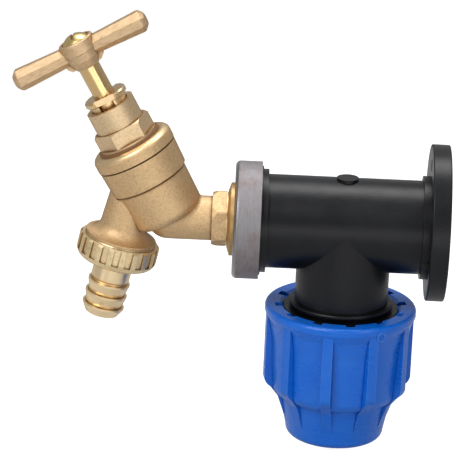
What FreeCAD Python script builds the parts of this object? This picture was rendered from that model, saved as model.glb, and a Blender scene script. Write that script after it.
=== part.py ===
import FreeCAD, Part

import math
import os
from types import SimpleNamespace

import Sketcher

# Bib tap on a wall-plate elbow. The origin is on the wall face, at the axis of the level
# supply tube: +X goes into the wall, -X towards the tap, +Z up and +Y away from the viewer.

# Driving sizes: millimetres, degrees and counts
SIZES = {
    # gaps between pieces
    "seat_gap": 0.05,
    "running_gap": 0.08,
    "thread_gap": 0.14,
    "face_gap": 0.15,
    # wall plate of the elbow
    "plate_radius": 30.6,
    "plate_rise": 2.2,
    "plate_thickness": 7.2,
    "plate_round": 0.6,
    "recess_inner_radius": 19.6,
    "recess_outer_radius": 27.4,
    "recess_depth": 4.4,
    "plate_rib_thickness": 1.5,
    "plate_rib_count": 12,
    "screw_circle_radius": 23.3,
    "screw_hole_radius": 2.5,
    "screw_boss_radius": 5.2,
    "screw_count": 3,
    # level tube of the elbow
    "tube_radius": 18.3,
    "tube_length": 60.1,
    "end_collar_radius": 20.2,
    "end_collar_width": 2.6,
    "ring_stop_radius": 21.3,
    "ring_stop_width": 0.5,
    "hub_radius": 21.6,
    "core_radius": 14.3,
    "core_depth": 19.0,
    "core_web_thickness": 1.8,
    "water_radius": 10.0,
    "gate_pad_radius": 4.25,
    "gate_pad_height": 0.8,
    # downward pipe branch of the elbow
    "branch_distance": 39.4,
    "branch_radius": 18.3,
    "bead_drop": 31.0,
    "bead_width": 2.0,
    "bead_radius": 20.4,
    "bead_round": 0.8,
    "male_drop": 33.9,
    "male_radius": 22.4,
    "male_length": 18.1,
    "male_chamfer": 1.0,
    "pipe_radius": 12.6,
    "pipe_stop_drop": 14.0,
    "seal_pocket_radius": 17.0,
    "seal_pocket_depth": 7.0,
    # pressed steel ring
    "ring_radius": 23.0,
    "ring_face_thickness": 1.25,
    "ring_length": 10.5,
    "ring_round": 2.0,
    # threaded brass insert
    "insert_flange_radius": 14.3,
    "insert_flange_width": 1.3,
    "insert_cone_width": 1.1,
    "insert_cone_radius": 11.0,
    "insert_sleeve_radius": 13.2,
    "insert_sleeve_length": 17.0,
    "insert_thread_depth": 14.5,
    "insert_water_radius": 8.0,
    # inlet of the tap
    "inlet_thread_radius": 10.4,
    "inlet_thread_length": 12.5,
    "inlet_thread_chamfer": 0.9,
    "neck_band_width": 0.3,
    "inlet_hex_half_flats": 9.9,
    "inlet_hex_corner_radius": 11.2,
    "inlet_hex_width": 5.7,
    "inlet_hex_slope": 1.0,
    "inlet_tube_radius": 8.7,
    "inlet_reach": 16.35,
    "inlet_bulge_offset": -0.6,
    "inlet_water_radius": 6.0,
    # leaning valve chamber, distances along its own axis from the collar plane
    "tap_lean_angle": 29.4,
    "chamber_height": 32.9,
    "collar_radius": 16.3,
    "collar_shoulder_width": 2.4,
    "collar_edge_drop": 0.8,
    "collar_face_rise": 1.4,
    "band_line_depth": 4.2,
    "band_line_cut": 0.45,
    "band_line_width": 0.5,
    "band_radius": 16.05,
    "band_depth": 15.2,
    "band_step_width": 0.7,
    "band_end_radius": 15.6,
    "chamber_top_radius": 14.8,
    "chamber_end_radius": 14.4,
    "chamber_depth": 32.7,
    "chamber_round": 3.4,
    "bonnet_thread_radius": 11.8,
    "bonnet_thread_depth": 7.0,
    "chamber_bore_radius": 11.0,
    "seat_depth": 20.0,
    "seat_land_radius": 6.6,
    "seat_land_height": 1.0,
    "seat_bore_radius": 4.8,
    # spout, distances along its own axis from the tip of the hose tail; its channel ends this far
    # past the level of the seat
    "spout_lean_angle": 12.0,
    "spout_reach": 25.7,
    "spout_drop": 40.95,
    "spout_thread_radius": 13.2,
    "spout_disc_radius": 13.9,
    "spout_disc_height": 32.5,
    "spout_disc_width": 0.8,
    "spout_bell_radius": 5.2,
    "spout_bell_height": 37.6,
    "spout_neck_low_radius": 9.2,
    "spout_neck_high_radius": 8.4,
    "spout_neck_height": 52.0,
    "spout_water_radius": 6.5,
    "spout_channel_radius": 3.7,
    "spout_channel_start": 38.0,
    "spout_channel_end": 0.8605,
    "cast_fillet": 1.5,
    # headworks bonnet
    "bonnet_flange_radius": 13.2,
    "bonnet_flange_width": 0.75,
    "bonnet_hex_half_flats": 10.2,
    "bonnet_hex_corner_radius": 11.75,
    "bonnet_hex_height": 6.4,
    "bonnet_hex_slope": 0.9,
    "bonnet_hex_angle": 12.0,
    "bonnet_barrel_radius": 9.7,
    "bonnet_barrel_top": 18.1,
    "bonnet_mouth_radius": 7.55,
    "bonnet_mouth_depth": 3.0,
    "gland_thread_radius": 6.2,
    "packing_floor": 9.0,
    "bonnet_washer_radius": 12.8,
    "bonnet_washer_thickness": 0.8,
    # spindle; its foot is counted up from the bottom of the chamber bore
    "stem_radius": 4.2,
    "screw_radius": 5.8,
    "screw_foot": 6.8,
    "screw_top": 2.2,
    "screw_foot_radius": 5.2,
    "stem_shoulder": 35.6,
    "square_half_width": 2.9,
    "square_top": 43.5,
    "handle_screw_hole_depth": 7.2,
    "jumper_bore_radius": 2.6,
    "jumper_bore_depth": 9.6,
    # jumper, tap washer and its nut
    "jumper_stem_radius": 2.5,
    "jumper_stem_length": 9.0,
    "jumper_plate_radius": 6.7,
    "jumper_plate_thickness": 2.0,
    "jumper_stud_radius": 1.5,
    "jumper_stud_length": 6.2,
    "tap_washer_radius": 6.4,
    "tap_washer_thickness": 3.3,
    "washer_nut_half_flats": 2.7,
    "washer_nut_thickness": 2.0,
    # gland
    "packing_thickness": 2.7,
    "follower_thickness": 0.5,
    "gland_neck_radius": 5.1,
    "gland_lobe_radius": 7.2,
    "gland_lobe_foot": 17.0,
    "gland_lobe_gap": 6.2,
    "gland_head_radius": 8.6,
    "gland_head_base": 20.3,
    "gland_head_thickness": 2.4,
    "gland_slot_width": 8.6,
    "gland_slot_distance": 5.6,
    # crutch handle
    "hub_top": 47.0,
    "hub_top_radius": 7.1,
    "hub_waist_height": 39.0,
    "hub_waist_radius": 6.4,
    "hub_taper_height": 37.2,
    "hub_taper_radius": 5.6,
    "hub_foot": 35.5,
    "hub_foot_radius": 4.7,
    "hub_recess_radius": 5.7,
    "hub_recess_depth": 1.3,
    "hub_rim_round": 0.7,
    "hub_line_step": 0.25,
    "arm_height": 42.2,
    "arm_length": 28.4,
    "arm_root_radius": 3.45,
    "arm_end_radius": 4.25,
    "arm_tip_radius": 2.4,
    "arm_tip_length": 1.9,
    "arm_edge_round": 1.6,
    "lug_reach": 7.6,
    "lug_width": 3.4,
    "lug_base_height": 36.1,
    "lug_slope": 1.4,
    # screw in the handle
    "cap_screw_radius": 5.3,
    "cap_screw_edge": 1.0,
    "cap_screw_dome": 2.6,
    "cap_screw_slot_width": 1.1,
    "cap_screw_slot_depth": 1.2,
    "cap_screw_shank_radius": 1.9,
    "cap_screw_shank_length": 7.4,
    # hose union nut
    "union_foot": 22.0,
    "union_top": 31.8,
    "union_radius": 15.9,
    "union_foot_radius": 12.0,
    "union_round": 3.9,
    "union_chamfer": 0.9,
    "union_mouth_radius": 14.0,
    "union_lip_width": 1.6,
    "union_lip_radius": 8.9,
    "union_slot_width": 2.8,
    "union_slot_floor_radius": 15.1,
    "union_slot_base": 24.9,
    "union_slot_count": 20,
    # hose tail and its washer
    "tail_flange_radius": 12.6,
    "tail_flange_thickness": 1.3,
    "tail_radius": 7.6,
    "tail_bore_radius": 5.3,
    "tail_barb_radius": 8.3,
    "tail_barb_root_radius": 7.1,
    "tail_barb_land": 0.7,
    "tail_barb_pitch": 4.9,
    "tail_barb_count": 3,
    "tail_first_crest": 13.7,
    "tail_tip_radius": 6.4,
    "union_washer_thickness": 1.7,
    # blue compression nut: heights are counted down from its top face, widths from its thread
    "nut_drop": 33.1,
    "nut_height": 54.5,
    "nut_mouth_chamfer": 1.3,
    "nut_rim_land": 5.9,
    "nut_rim_height": 3.0,
    "nut_rim_round": 1.4,
    "nut_wall": 3.4,
    "nut_wall_taper": 1.0,
    "nut_wall_top": 13.6,
    "nut_flare": 1.2,
    "nut_flare_height": 6.8,
    "nut_shoulder_height": 33.0,
    "nut_shoulder_round": 5.0,
    "nut_shoulder_step": 3.4,
    "nut_skirt_radius": 22.0,
    "nut_foot_radius": 19.4,
    "nut_foot_height": 51.3,
    "nut_foot_round": 3.2,
    "nut_foot_face_radius": 16.8,
    "nut_rib_count": 10,
    "nut_rib_angle": 8.1,
    "nut_rib_width": 4.0,
    "nut_rib_rise": 3.3,
    "nut_rib_round": 5.0,
    "nut_rib_end_height": 31.4,
    "nut_rib_skirt_rise": 1.5,
    "nut_rib_fade_height": 50.5,
    "nut_notch_count": 12,
    "nut_notch_width": 4.0,
    "nut_notch_reach": 2.2,
    "nut_notch_depth": 1.4,
    "nut_pipe_radius": 13.3,
    "nut_mark_radius": 1.9,
    "nut_mark_dot_radius": 0.6,
    "nut_mark_groove": 0.3,
    "nut_mark_rise": 0.35,
    "nut_mark_offset": 3.5,
    "nut_mark_height": 4.6,
    # grip ring and pressing bush
    "bush_flange_radius": 21.4,
    "bush_flange_thickness": 2.6,
    "bush_sleeve_radius": 16.6,
    "bush_sleeve_length": 2.6,
    "bush_bore_radius": 13.0,
    "grip_top_radius": 20.8,
    "grip_foot_radius": 17.0,
    "grip_length": 17.5,
    "grip_bore_radius": 12.95,
    "grip_tooth_depth": 0.8,
    "grip_tooth_pitch": 2.6,
    "grip_tooth_count": 5,
    "grip_split_width": 3.6,
    "seal_cord_radius": 2.05,
}

doc = FreeCAD.newDocument("BibTap")
sheet = doc.addObject("Spreadsheet::Sheet", "Dims")
for row, (alias, number) in enumerate(SIZES.items(), start=1):
    sheet.set(f"A{row}", alias)
    sheet.set(f"B{row}", str(number))
    sheet.setAlias(f"B{row}", alias)
doc.recompute()


class Size:
    """A number together with the sheet formula that it comes from."""

    def __init__(self, value, formula):
        self.value = value
        self.formula = formula

    def __add__(self, other):
        other = as_size(other)
        return Size(self.value + other.value, f"({self.formula} + {other.formula})")

    def __radd__(self, other):
        return as_size(other) + self

    def __sub__(self, other):
        other = as_size(other)
        return Size(self.value - other.value, f"({self.formula} - {other.formula})")

    def __rsub__(self, other):
        return as_size(other) - self

    def __mul__(self, other):
        other = as_size(other)
        return Size(self.value * other.value, f"({self.formula} * {other.formula})")

    def __rmul__(self, other):
        return as_size(other) * self

    def __truediv__(self, other):
        other = as_size(other)
        return Size(self.value / other.value, f"({self.formula} / {other.formula})")

    def __neg__(self):
        return 0 - self


def as_size(number):
    """Gives a plain number the same form as a size from the sheet."""
    return number if isinstance(number, Size) else Size(number, f"{number}")


def cosine(angle):
    return Size(math.cos(math.radians(angle.value)), f"cos({angle.formula})")


def sine(angle):
    return Size(math.sin(math.radians(angle.value)), f"sin({angle.formula})")


d = SimpleNamespace(**{alias: Size(number, f"Dims.{alias}") for alias, number in SIZES.items()})
ZERO = Size(0.0, "0")
CLOCKWISE = -1
ANTICLOCKWISE = 1

# Cuts reach this many times past the surface that they open
REACH = 1.2

# Lengths this close count as the same when an edge is looked for
GRAZE = 0.001


def bind(item, path, size):
    """Ties one property of an object to the sheet."""
    item.setExpression(path, as_size(size).formula)


def new_body(label):
    body = doc.addObject("PartDesign::Body", label)
    body.Label = label
    return body


def origin_part(body, role):
    return next(item for item in body.Origin.OriginFeatures if item.Role == role)


def new_sketch(body, name, plane="XZ_Plane", across=ZERO, up=ZERO, height=ZERO, turn=ZERO):
    """Puts a sketch on one of the body's own planes, moved within it, off it and turned in it."""
    sketch = body.newObject("Sketcher::SketchObject", name)
    sketch.AttachmentSupport = [(origin_part(body, plane), "")]
    sketch.MapMode = "FlatFace"
    place = FreeCAD.Vector(across.value, up.value, height.value)
    sketch.AttachmentOffset = FreeCAD.Placement(place, FreeCAD.Rotation(FreeCAD.Vector(0, 0, 1), turn.value))
    paths = {"Base.x": across, "Base.y": up, "Base.z": height, "Rotation.Angle": turn}
    for path, size in paths.items():
        if size is not ZERO:
            bind(sketch, f"AttachmentOffset.{path}", size)
    return sketch


def add_ties(sketch, ties):
    """Adds constraints, and ties those that carry a size to the sheet."""
    indexes = sketch.addConstraint([constraint for constraint, size in ties])
    for index, (constraint, size) in zip(indexes, ties):
        if size is not None:
            bind(sketch, f"Constraints[{index}]", size)


def point_ties(item, end, across, up):
    """Fixes one point of a sketch: on an axis where its distance is nought, else by its size."""
    ties = []
    for kind, axis, size in (("DistanceX", -2, across), ("DistanceY", -1, up)):
        if size is ZERO:
            ties.append((Sketcher.Constraint("PointOnObject", item, end, axis), None))
        else:
            ties.append((Sketcher.Constraint(kind, -1, 1, item, end, size.value), size))
    return ties


def arc_between(start, end, radius, turn):
    """Makes the short arc from start to end, whose centre lies left of the way for turn 1."""
    chord = end - start
    middle = (start + end) * 0.5
    left = FreeCAD.Vector(-chord.y, chord.x, 0).normalize()
    height = math.sqrt(max(radius ** 2 - (chord.Length / 2) ** 2, 0.0))
    centre = middle + left * (turn * height)
    first, last = (start, end) if turn == ANTICLOCKWISE else (end, start)
    angles = [math.atan2(point.y - centre.y, point.x - centre.x) for point in (first, last)]
    return Part.ArcOfCircle(Part.Circle(centre, FreeCAD.Vector(0, 0, 1), radius), *angles)


def draw_outline(sketch, corners):
    """Draws a closed outline. A corner is (across, up), or (across, up, radius, turn) where the
    side that leaves it is an arc."""
    corners = [tuple(ZERO if part == 0 else part for part in corner[:2]) + tuple(corner[2:])
               for corner in corners]
    sides = []
    ends = []
    for corner, following in zip(corners, corners[1:] + corners[:1]):
        start = FreeCAD.Vector(corner[0].value, corner[1].value, 0)
        end = FreeCAD.Vector(following[0].value, following[1].value, 0)
        if len(corner) == 2:
            sides.append(Part.LineSegment(start, end))
            ends.append((1, 2))
        else:
            sides.append(arc_between(start, end, corner[2].value, corner[3]))
            ends.append((1, 2) if corner[3] == ANTICLOCKWISE else (2, 1))
    items = sketch.addGeometry(sides, False)
    ties = []
    for index, (item, corner) in enumerate(zip(items, corners)):
        following = (index + 1) % len(items)
        join = Sketcher.Constraint("Coincident", item, ends[index][1], items[following], ends[following][0])
        ties.append((join, None))
        ties.extend(point_ties(item, ends[index][0], corner[0], corner[1]))
        if len(corner) > 2:
            ties.append((Sketcher.Constraint("Radius", item, corner[2].value), corner[2]))
    add_ties(sketch, ties)


def draw_circle(sketch, across, up, radius):
    centre = FreeCAD.Vector(across.value, up.value, 0)
    item = sketch.addGeometry(Part.Circle(centre, FreeCAD.Vector(0, 0, 1), radius.value), False)
    ties = point_ties(item, 3, across, up)
    ties.append((Sketcher.Constraint("Radius", item, radius.value), radius))
    add_ties(sketch, ties)


def draw_block(sketch, low_across, low_up, high_across, high_up):
    draw_outline(sketch, [(low_across, low_up), (high_across, low_up),
                          (high_across, high_up), (low_across, high_up)])


def draw_polygon(sketch, half_flats, sides, first_degrees):
    """Draws a regular polygon by the half distance across its flats."""
    half_side = math.pi / sides
    corner_radius = half_flats / math.cos(half_side)
    angles = [math.radians(first_degrees) + 2 * half_side * index for index in range(sides)]
    draw_outline(sketch, [(corner_radius * math.cos(angle), corner_radius * math.sin(angle))
                          for angle in angles])


def body_volume(body):
    doc.recompute()
    return body.Shape.Volume if not body.Shape.isNull() else 0.0


def checked(body, feature, volume_before, cut):
    """Makes sure that a feature added or removed material as it should."""
    volume = body_volume(body)
    grew = volume > volume_before
    if grew == cut or volume == volume_before:
        raise RuntimeError(f"{body.Label}: {feature.Label} went the wrong way")
    return feature


def turned(body, name, corners, axis="V_Axis", cut=False, plane="XZ_Plane", **place):
    """Turns an outline about one of its sketch's axes, as a solid or as a cut."""
    volume = body_volume(body)
    sketch = new_sketch(body, f"{name}_outline", plane, **place)
    draw_outline(sketch, corners)
    feature = body.newObject("PartDesign::Groove" if cut else "PartDesign::Revolution", name)
    feature.Profile = sketch
    feature.ReferenceAxis = (sketch, [axis])
    feature.Angle = 360
    return checked(body, feature, volume, cut)


def extruded(body, name, sketch, length, cut=False, both_ways=False, backwards=False):
    """Pads or pockets a sketch by a length, to one side or half to each."""
    volume = body_volume(body)
    feature = body.newObject("PartDesign::Pocket" if cut else "PartDesign::Pad", name)
    feature.Profile = sketch
    bind(feature, "Length", length)
    feature.SideType = "Symmetric" if both_ways else "One side"
    feature.Reversed = backwards
    return checked(body, feature, volume, cut)


def around(body, name, feature, axis, count):
    """Repeats a feature evenly about an axis."""
    pattern = body.newObject("PartDesign::PolarPattern", name)
    pattern.Originals = [feature]
    pattern.Axis = axis
    pattern.Angle = 360
    bind(pattern, "Occurrences", count)
    body.Tip = pattern
    doc.recompute()
    return pattern


def mirrored(body, name, feature, role):
    pattern = body.newObject("PartDesign::Mirrored", name)
    pattern.Originals = [feature]
    pattern.MirrorPlane = (origin_part(body, role), [""])
    body.Tip = pattern
    doc.recompute()
    return pattern


def rounded(body, name, radius, chosen, kind="PartDesign::Fillet"):
    """Rounds or chamfers those edges of the body for which the test holds."""
    doc.recompute()
    base = body.Tip
    edges = [f"Edge{index}" for index, edge in enumerate(base.Shape.Edges, start=1) if chosen(edge)]
    if not edges:
        raise RuntimeError(f"{body.Label}: {name} finds no edge")
    feature = body.newObject(kind, name)
    feature.Base = (base, edges)
    bind(feature, "Radius" if kind.endswith("Fillet") else "Size", radius)
    doc.recompute()
    return feature


def place_body(body, across=ZERO, up=ZERO, axis=(0, 1, 0), turn=ZERO):
    """Puts a body that was made about its own Z axis where it belongs."""
    turn_now = FreeCAD.Rotation(FreeCAD.Vector(*axis), turn.value)
    body.Placement = FreeCAD.Placement(FreeCAD.Vector(across.value, 0, up.value), turn_now)
    for path, size in (("Base.x", across), ("Base.z", up), ("Rotation.Angle", turn)):
        if size is not ZERO:
            bind(body, f"Placement.{path}", size)
    doc.recompute()
    return body


# Places along the level axis, from the wall outwards
tube_start = -d.plate_thickness - d.end_collar_width
tube_end = tube_start - d.tube_length
ring_back = tube_end - d.end_collar_width
ring_front = ring_back - d.ring_length
ring_face_back = ring_front + d.ring_face_thickness
hub_front = ring_face_back + d.seat_gap
insert_front = ring_front - d.insert_flange_width - d.insert_cone_width
insert_back = ring_front + d.insert_sleeve_length
hex_right = insert_front - d.neck_band_width
hex_left = hex_right - d.inlet_hex_width
branch_x = -d.branch_distance

# The leaning axis of the valve crosses the level axis at valve_x, and its distances are counted
# from the collar plane, positive outwards
valve_x = hex_left - d.inlet_reach
collar_x = valve_x - d.chamber_height * sine(d.tap_lean_angle)
collar_z = d.chamber_height * cosine(d.tap_lean_angle)
spout_x = valve_x - d.spout_reach
spout_z = -d.spout_drop

# Levels along the valve axis
bonnet_washer_base = d.collar_face_rise
bonnet_flange_base = bonnet_washer_base + d.bonnet_washer_thickness
bonnet_hex_base = bonnet_flange_base + d.bonnet_flange_width
bonnet_hex_top = bonnet_hex_base + d.bonnet_hex_height
bonnet_foot = -d.bonnet_thread_depth
mouth_floor = d.bonnet_barrel_top - d.bonnet_mouth_depth
seat_top = d.seat_land_height - d.seat_depth
spindle_foot = d.screw_foot - d.seat_depth
packing_base = d.packing_floor + d.seat_gap
packing_top = packing_base + d.packing_thickness
follower_base = packing_top + d.seat_gap
follower_top = follower_base + d.follower_thickness
gland_foot = follower_top + d.face_gap
gland_top = d.gland_head_base + d.gland_head_thickness
tap_washer_base = seat_top + d.face_gap
jumper_plate_base = tap_washer_base + d.tap_washer_thickness
jumper_plate_top = jumper_plate_base + d.jumper_plate_thickness
hub_recess_floor = d.hub_top - d.hub_recess_depth

# Levels along the spout axis
tail_flange_base = d.union_foot + d.union_lip_width + d.face_gap
tail_flange_top = tail_flange_base + d.tail_flange_thickness
washer_base = tail_flange_top + d.face_gap
washer_top = washer_base + d.union_washer_thickness
spout_end = washer_top + d.face_gap

# Where the spout axis meets the bottom of the chamber bore, and where its channel ends
axes_angle = d.tap_lean_angle + d.spout_lean_angle
spout_foot_height = d.spout_drop * cosine(d.tap_lean_angle) - d.spout_reach * sine(d.tap_lean_angle)
seat_crossing = (spout_foot_height + d.chamber_height - d.seat_depth) / cosine(axes_angle)
spout_channel_top = seat_crossing + d.spout_channel_end

# Levels along the pipe branch, below the level axis
male_foot = -d.male_drop - d.male_length
seal_pocket_top = male_foot + d.seal_pocket_depth
nut_top = -d.nut_drop
nut_foot = nut_top - d.nut_height
bush_top = male_foot - d.face_gap
bush_foot = bush_top - d.bush_flange_thickness
grip_top = bush_foot - d.face_gap
grip_foot = grip_top - d.grip_length


def build_fitting_body():
    """Black elbow: wall plate, level tube with its hub, and the pipe branch below."""
    body = new_body("fitting_body")
    turned(body, "level_tube", [
        (hub_front, 0),
        (hub_front, d.hub_radius),
        (ring_back, d.hub_radius),
        (ring_back, d.ring_stop_radius),
        (ring_back + d.ring_stop_width, d.ring_stop_radius),
        (ring_back + d.ring_stop_width, d.end_collar_radius),
        (tube_end, d.end_collar_radius),
        (tube_end, d.tube_radius),
        (tube_start, d.tube_radius),
        (tube_start, d.end_collar_radius),
        (-d.plate_thickness / 2, d.end_collar_radius),
        (-d.plate_thickness / 2, 0),
    ], axis="H_Axis")
    plate = new_sketch(body, "plate_outline", "YZ_Plane", up=d.plate_rise)
    draw_circle(plate, ZERO, ZERO, d.plate_radius)
    extruded(body, "wall_plate", plate, d.plate_thickness, backwards=True)
    rounded(body, "plate_rounding", d.plate_round, plate_rim)
    turned(body, "branch", [
        (0, 0),
        (0, male_foot),
        (d.male_radius - d.male_chamfer, male_foot),
        (d.male_radius, male_foot + d.male_chamfer),
        (d.male_radius, -d.male_drop),
        (d.branch_radius, -d.male_drop),
        (d.branch_radius, -d.bead_drop - d.bead_width),
        (d.bead_radius - d.bead_round, -d.bead_drop - d.bead_width, d.bead_round, ANTICLOCKWISE),
        (d.bead_radius, -d.bead_drop - d.bead_width + d.bead_round),
        (d.bead_radius, -d.bead_drop - d.bead_round, d.bead_round, ANTICLOCKWISE),
        (d.bead_radius - d.bead_round, -d.bead_drop),
        (d.branch_radius, -d.bead_drop),
        (d.branch_radius, 0),
    ], across=branch_x)
    gate = new_sketch(body, "gate_outline", "XY_Plane", across=branch_x, height=d.tube_radius / 2)
    draw_circle(gate, ZERO, ZERO, d.gate_pad_radius)
    extruded(body, "gate_pad", gate, d.tube_radius / 2 + d.gate_pad_height)
    cut_plate_back(body)
    turned(body, "insert_seat", [
        (hub_front - d.ring_radius, 0),
        (hub_front - d.ring_radius, d.insert_sleeve_radius + d.seat_gap),
        (insert_back + d.seat_gap, d.insert_sleeve_radius + d.seat_gap),
        (insert_back + d.seat_gap, d.water_radius),
        (branch_x, d.water_radius),
        (branch_x, 0),
    ], axis="H_Axis", cut=True)
    turned(body, "pipe_socket", [
        (0, 0),
        (d.water_radius, 0),
        (d.water_radius, -d.pipe_stop_drop),
        (d.pipe_radius, -d.pipe_stop_drop),
        (d.pipe_radius, seal_pocket_top),
        (d.seal_pocket_radius, seal_pocket_top),
        (d.seal_pocket_radius, male_foot - d.male_length),
        (0, male_foot - d.male_length),
    ], cut=True, across=branch_x)
    return body


def plate_rim(edge):
    """Both circular edges of the wall plate's rim."""
    return is_circle(edge, d.plate_radius)


def is_circle(edge, radius):
    curve = edge.Curve
    return isinstance(curve, Part.Circle) and abs(curve.Radius - radius.value) < GRAZE


def cut_plate_back(body):
    """Cores the back of the plate: ring recess with ribs and screw bosses, and a webbed core."""
    floor = -d.recess_depth
    outside = d.plate_thickness
    turned(body, "ring_recess", [
        (floor, d.recess_inner_radius),
        (floor, d.recess_outer_radius),
        (outside, d.recess_outer_radius),
        (outside, d.recess_inner_radius),
    ], axis="H_Axis", cut=True, up=d.plate_rise)
    rib = new_sketch(body, "rib_outline", "YZ_Plane", up=d.plate_rise)
    half_rib = d.plate_rib_thickness / 2
    draw_block(rib, -half_rib, d.recess_inner_radius - half_rib, half_rib, d.recess_outer_radius + half_rib)
    rib_pad = extruded(body, "plate_rib", rib, d.recess_depth, backwards=True)
    around(body, "plate_ribs", rib_pad, (rib, ["N_Axis"]), d.plate_rib_count)
    boss = new_sketch(body, "boss_outline", "YZ_Plane", up=d.plate_rise)
    draw_circle(boss, ZERO, d.screw_circle_radius, d.screw_boss_radius)
    boss_pad = extruded(body, "screw_boss", boss, d.recess_depth, backwards=True)
    around(body, "screw_bosses", boss_pad, (boss, ["N_Axis"]), d.screw_count)
    hole = new_sketch(body, "hole_outline", "YZ_Plane", up=d.plate_rise)
    draw_circle(hole, ZERO, d.screw_circle_radius, d.screw_hole_radius)
    hole_cut = extruded(body, "screw_hole", hole, d.plate_thickness * 3, cut=True, both_ways=True)
    around(body, "screw_holes", hole_cut, (hole, ["N_Axis"]), d.screw_count)
    turned(body, "core", [
        (-d.core_depth, 0),
        (-d.core_depth, d.core_radius),
        (outside, d.core_radius),
        (outside, 0),
    ], axis="H_Axis", cut=True)
    web_top = d.core_radius + d.core_web_thickness / 2
    half_web = d.core_web_thickness / 2
    for name, sizes in (("upright_web", (half_web, web_top)), ("level_web", (web_top, half_web))):
        web = new_sketch(body, f"{name}_outline", "YZ_Plane")
        draw_block(web, -sizes[0], -sizes[1], sizes[0], sizes[1])
        extruded(body, name, web, d.core_depth, backwards=True)


def build_reinforcing_ring():
    """Pressed steel cup round the hub, with a rounded front edge."""
    body = new_body("reinforcing_ring")
    inner = d.hub_radius + d.seat_gap
    inner_round = d.ring_round - d.ring_face_thickness
    mouth = d.insert_sleeve_radius + d.seat_gap
    turned(body, "cup", [
        (ring_front, mouth),
        (ring_front, d.ring_radius - d.ring_round, d.ring_round, CLOCKWISE),
        (ring_front + d.ring_round, d.ring_radius),
        (ring_back, d.ring_radius),
        (ring_back, inner),
        (ring_face_back, inner),
        (ring_face_back, mouth),
    ], axis="H_Axis")
    return body


def build_threaded_insert():
    """Brass insert in the hub: flange with a coned face, sleeve and female thread."""
    body = new_body("threaded_insert")
    thread = d.inlet_thread_radius + d.seat_gap
    thread_floor = insert_front + d.insert_thread_depth
    turned(body, "insert", [
        (insert_front, thread),
        (insert_front, d.insert_cone_radius),
        (insert_front + d.insert_cone_width, d.insert_flange_radius),
        (ring_front, d.insert_flange_radius),
        (ring_front, d.insert_sleeve_radius),
        (insert_back, d.insert_sleeve_radius),
        (insert_back, d.insert_water_radius),
        (thread_floor, d.insert_water_radius),
        (thread_floor, thread),
    ], axis="H_Axis")
    return body


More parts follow.
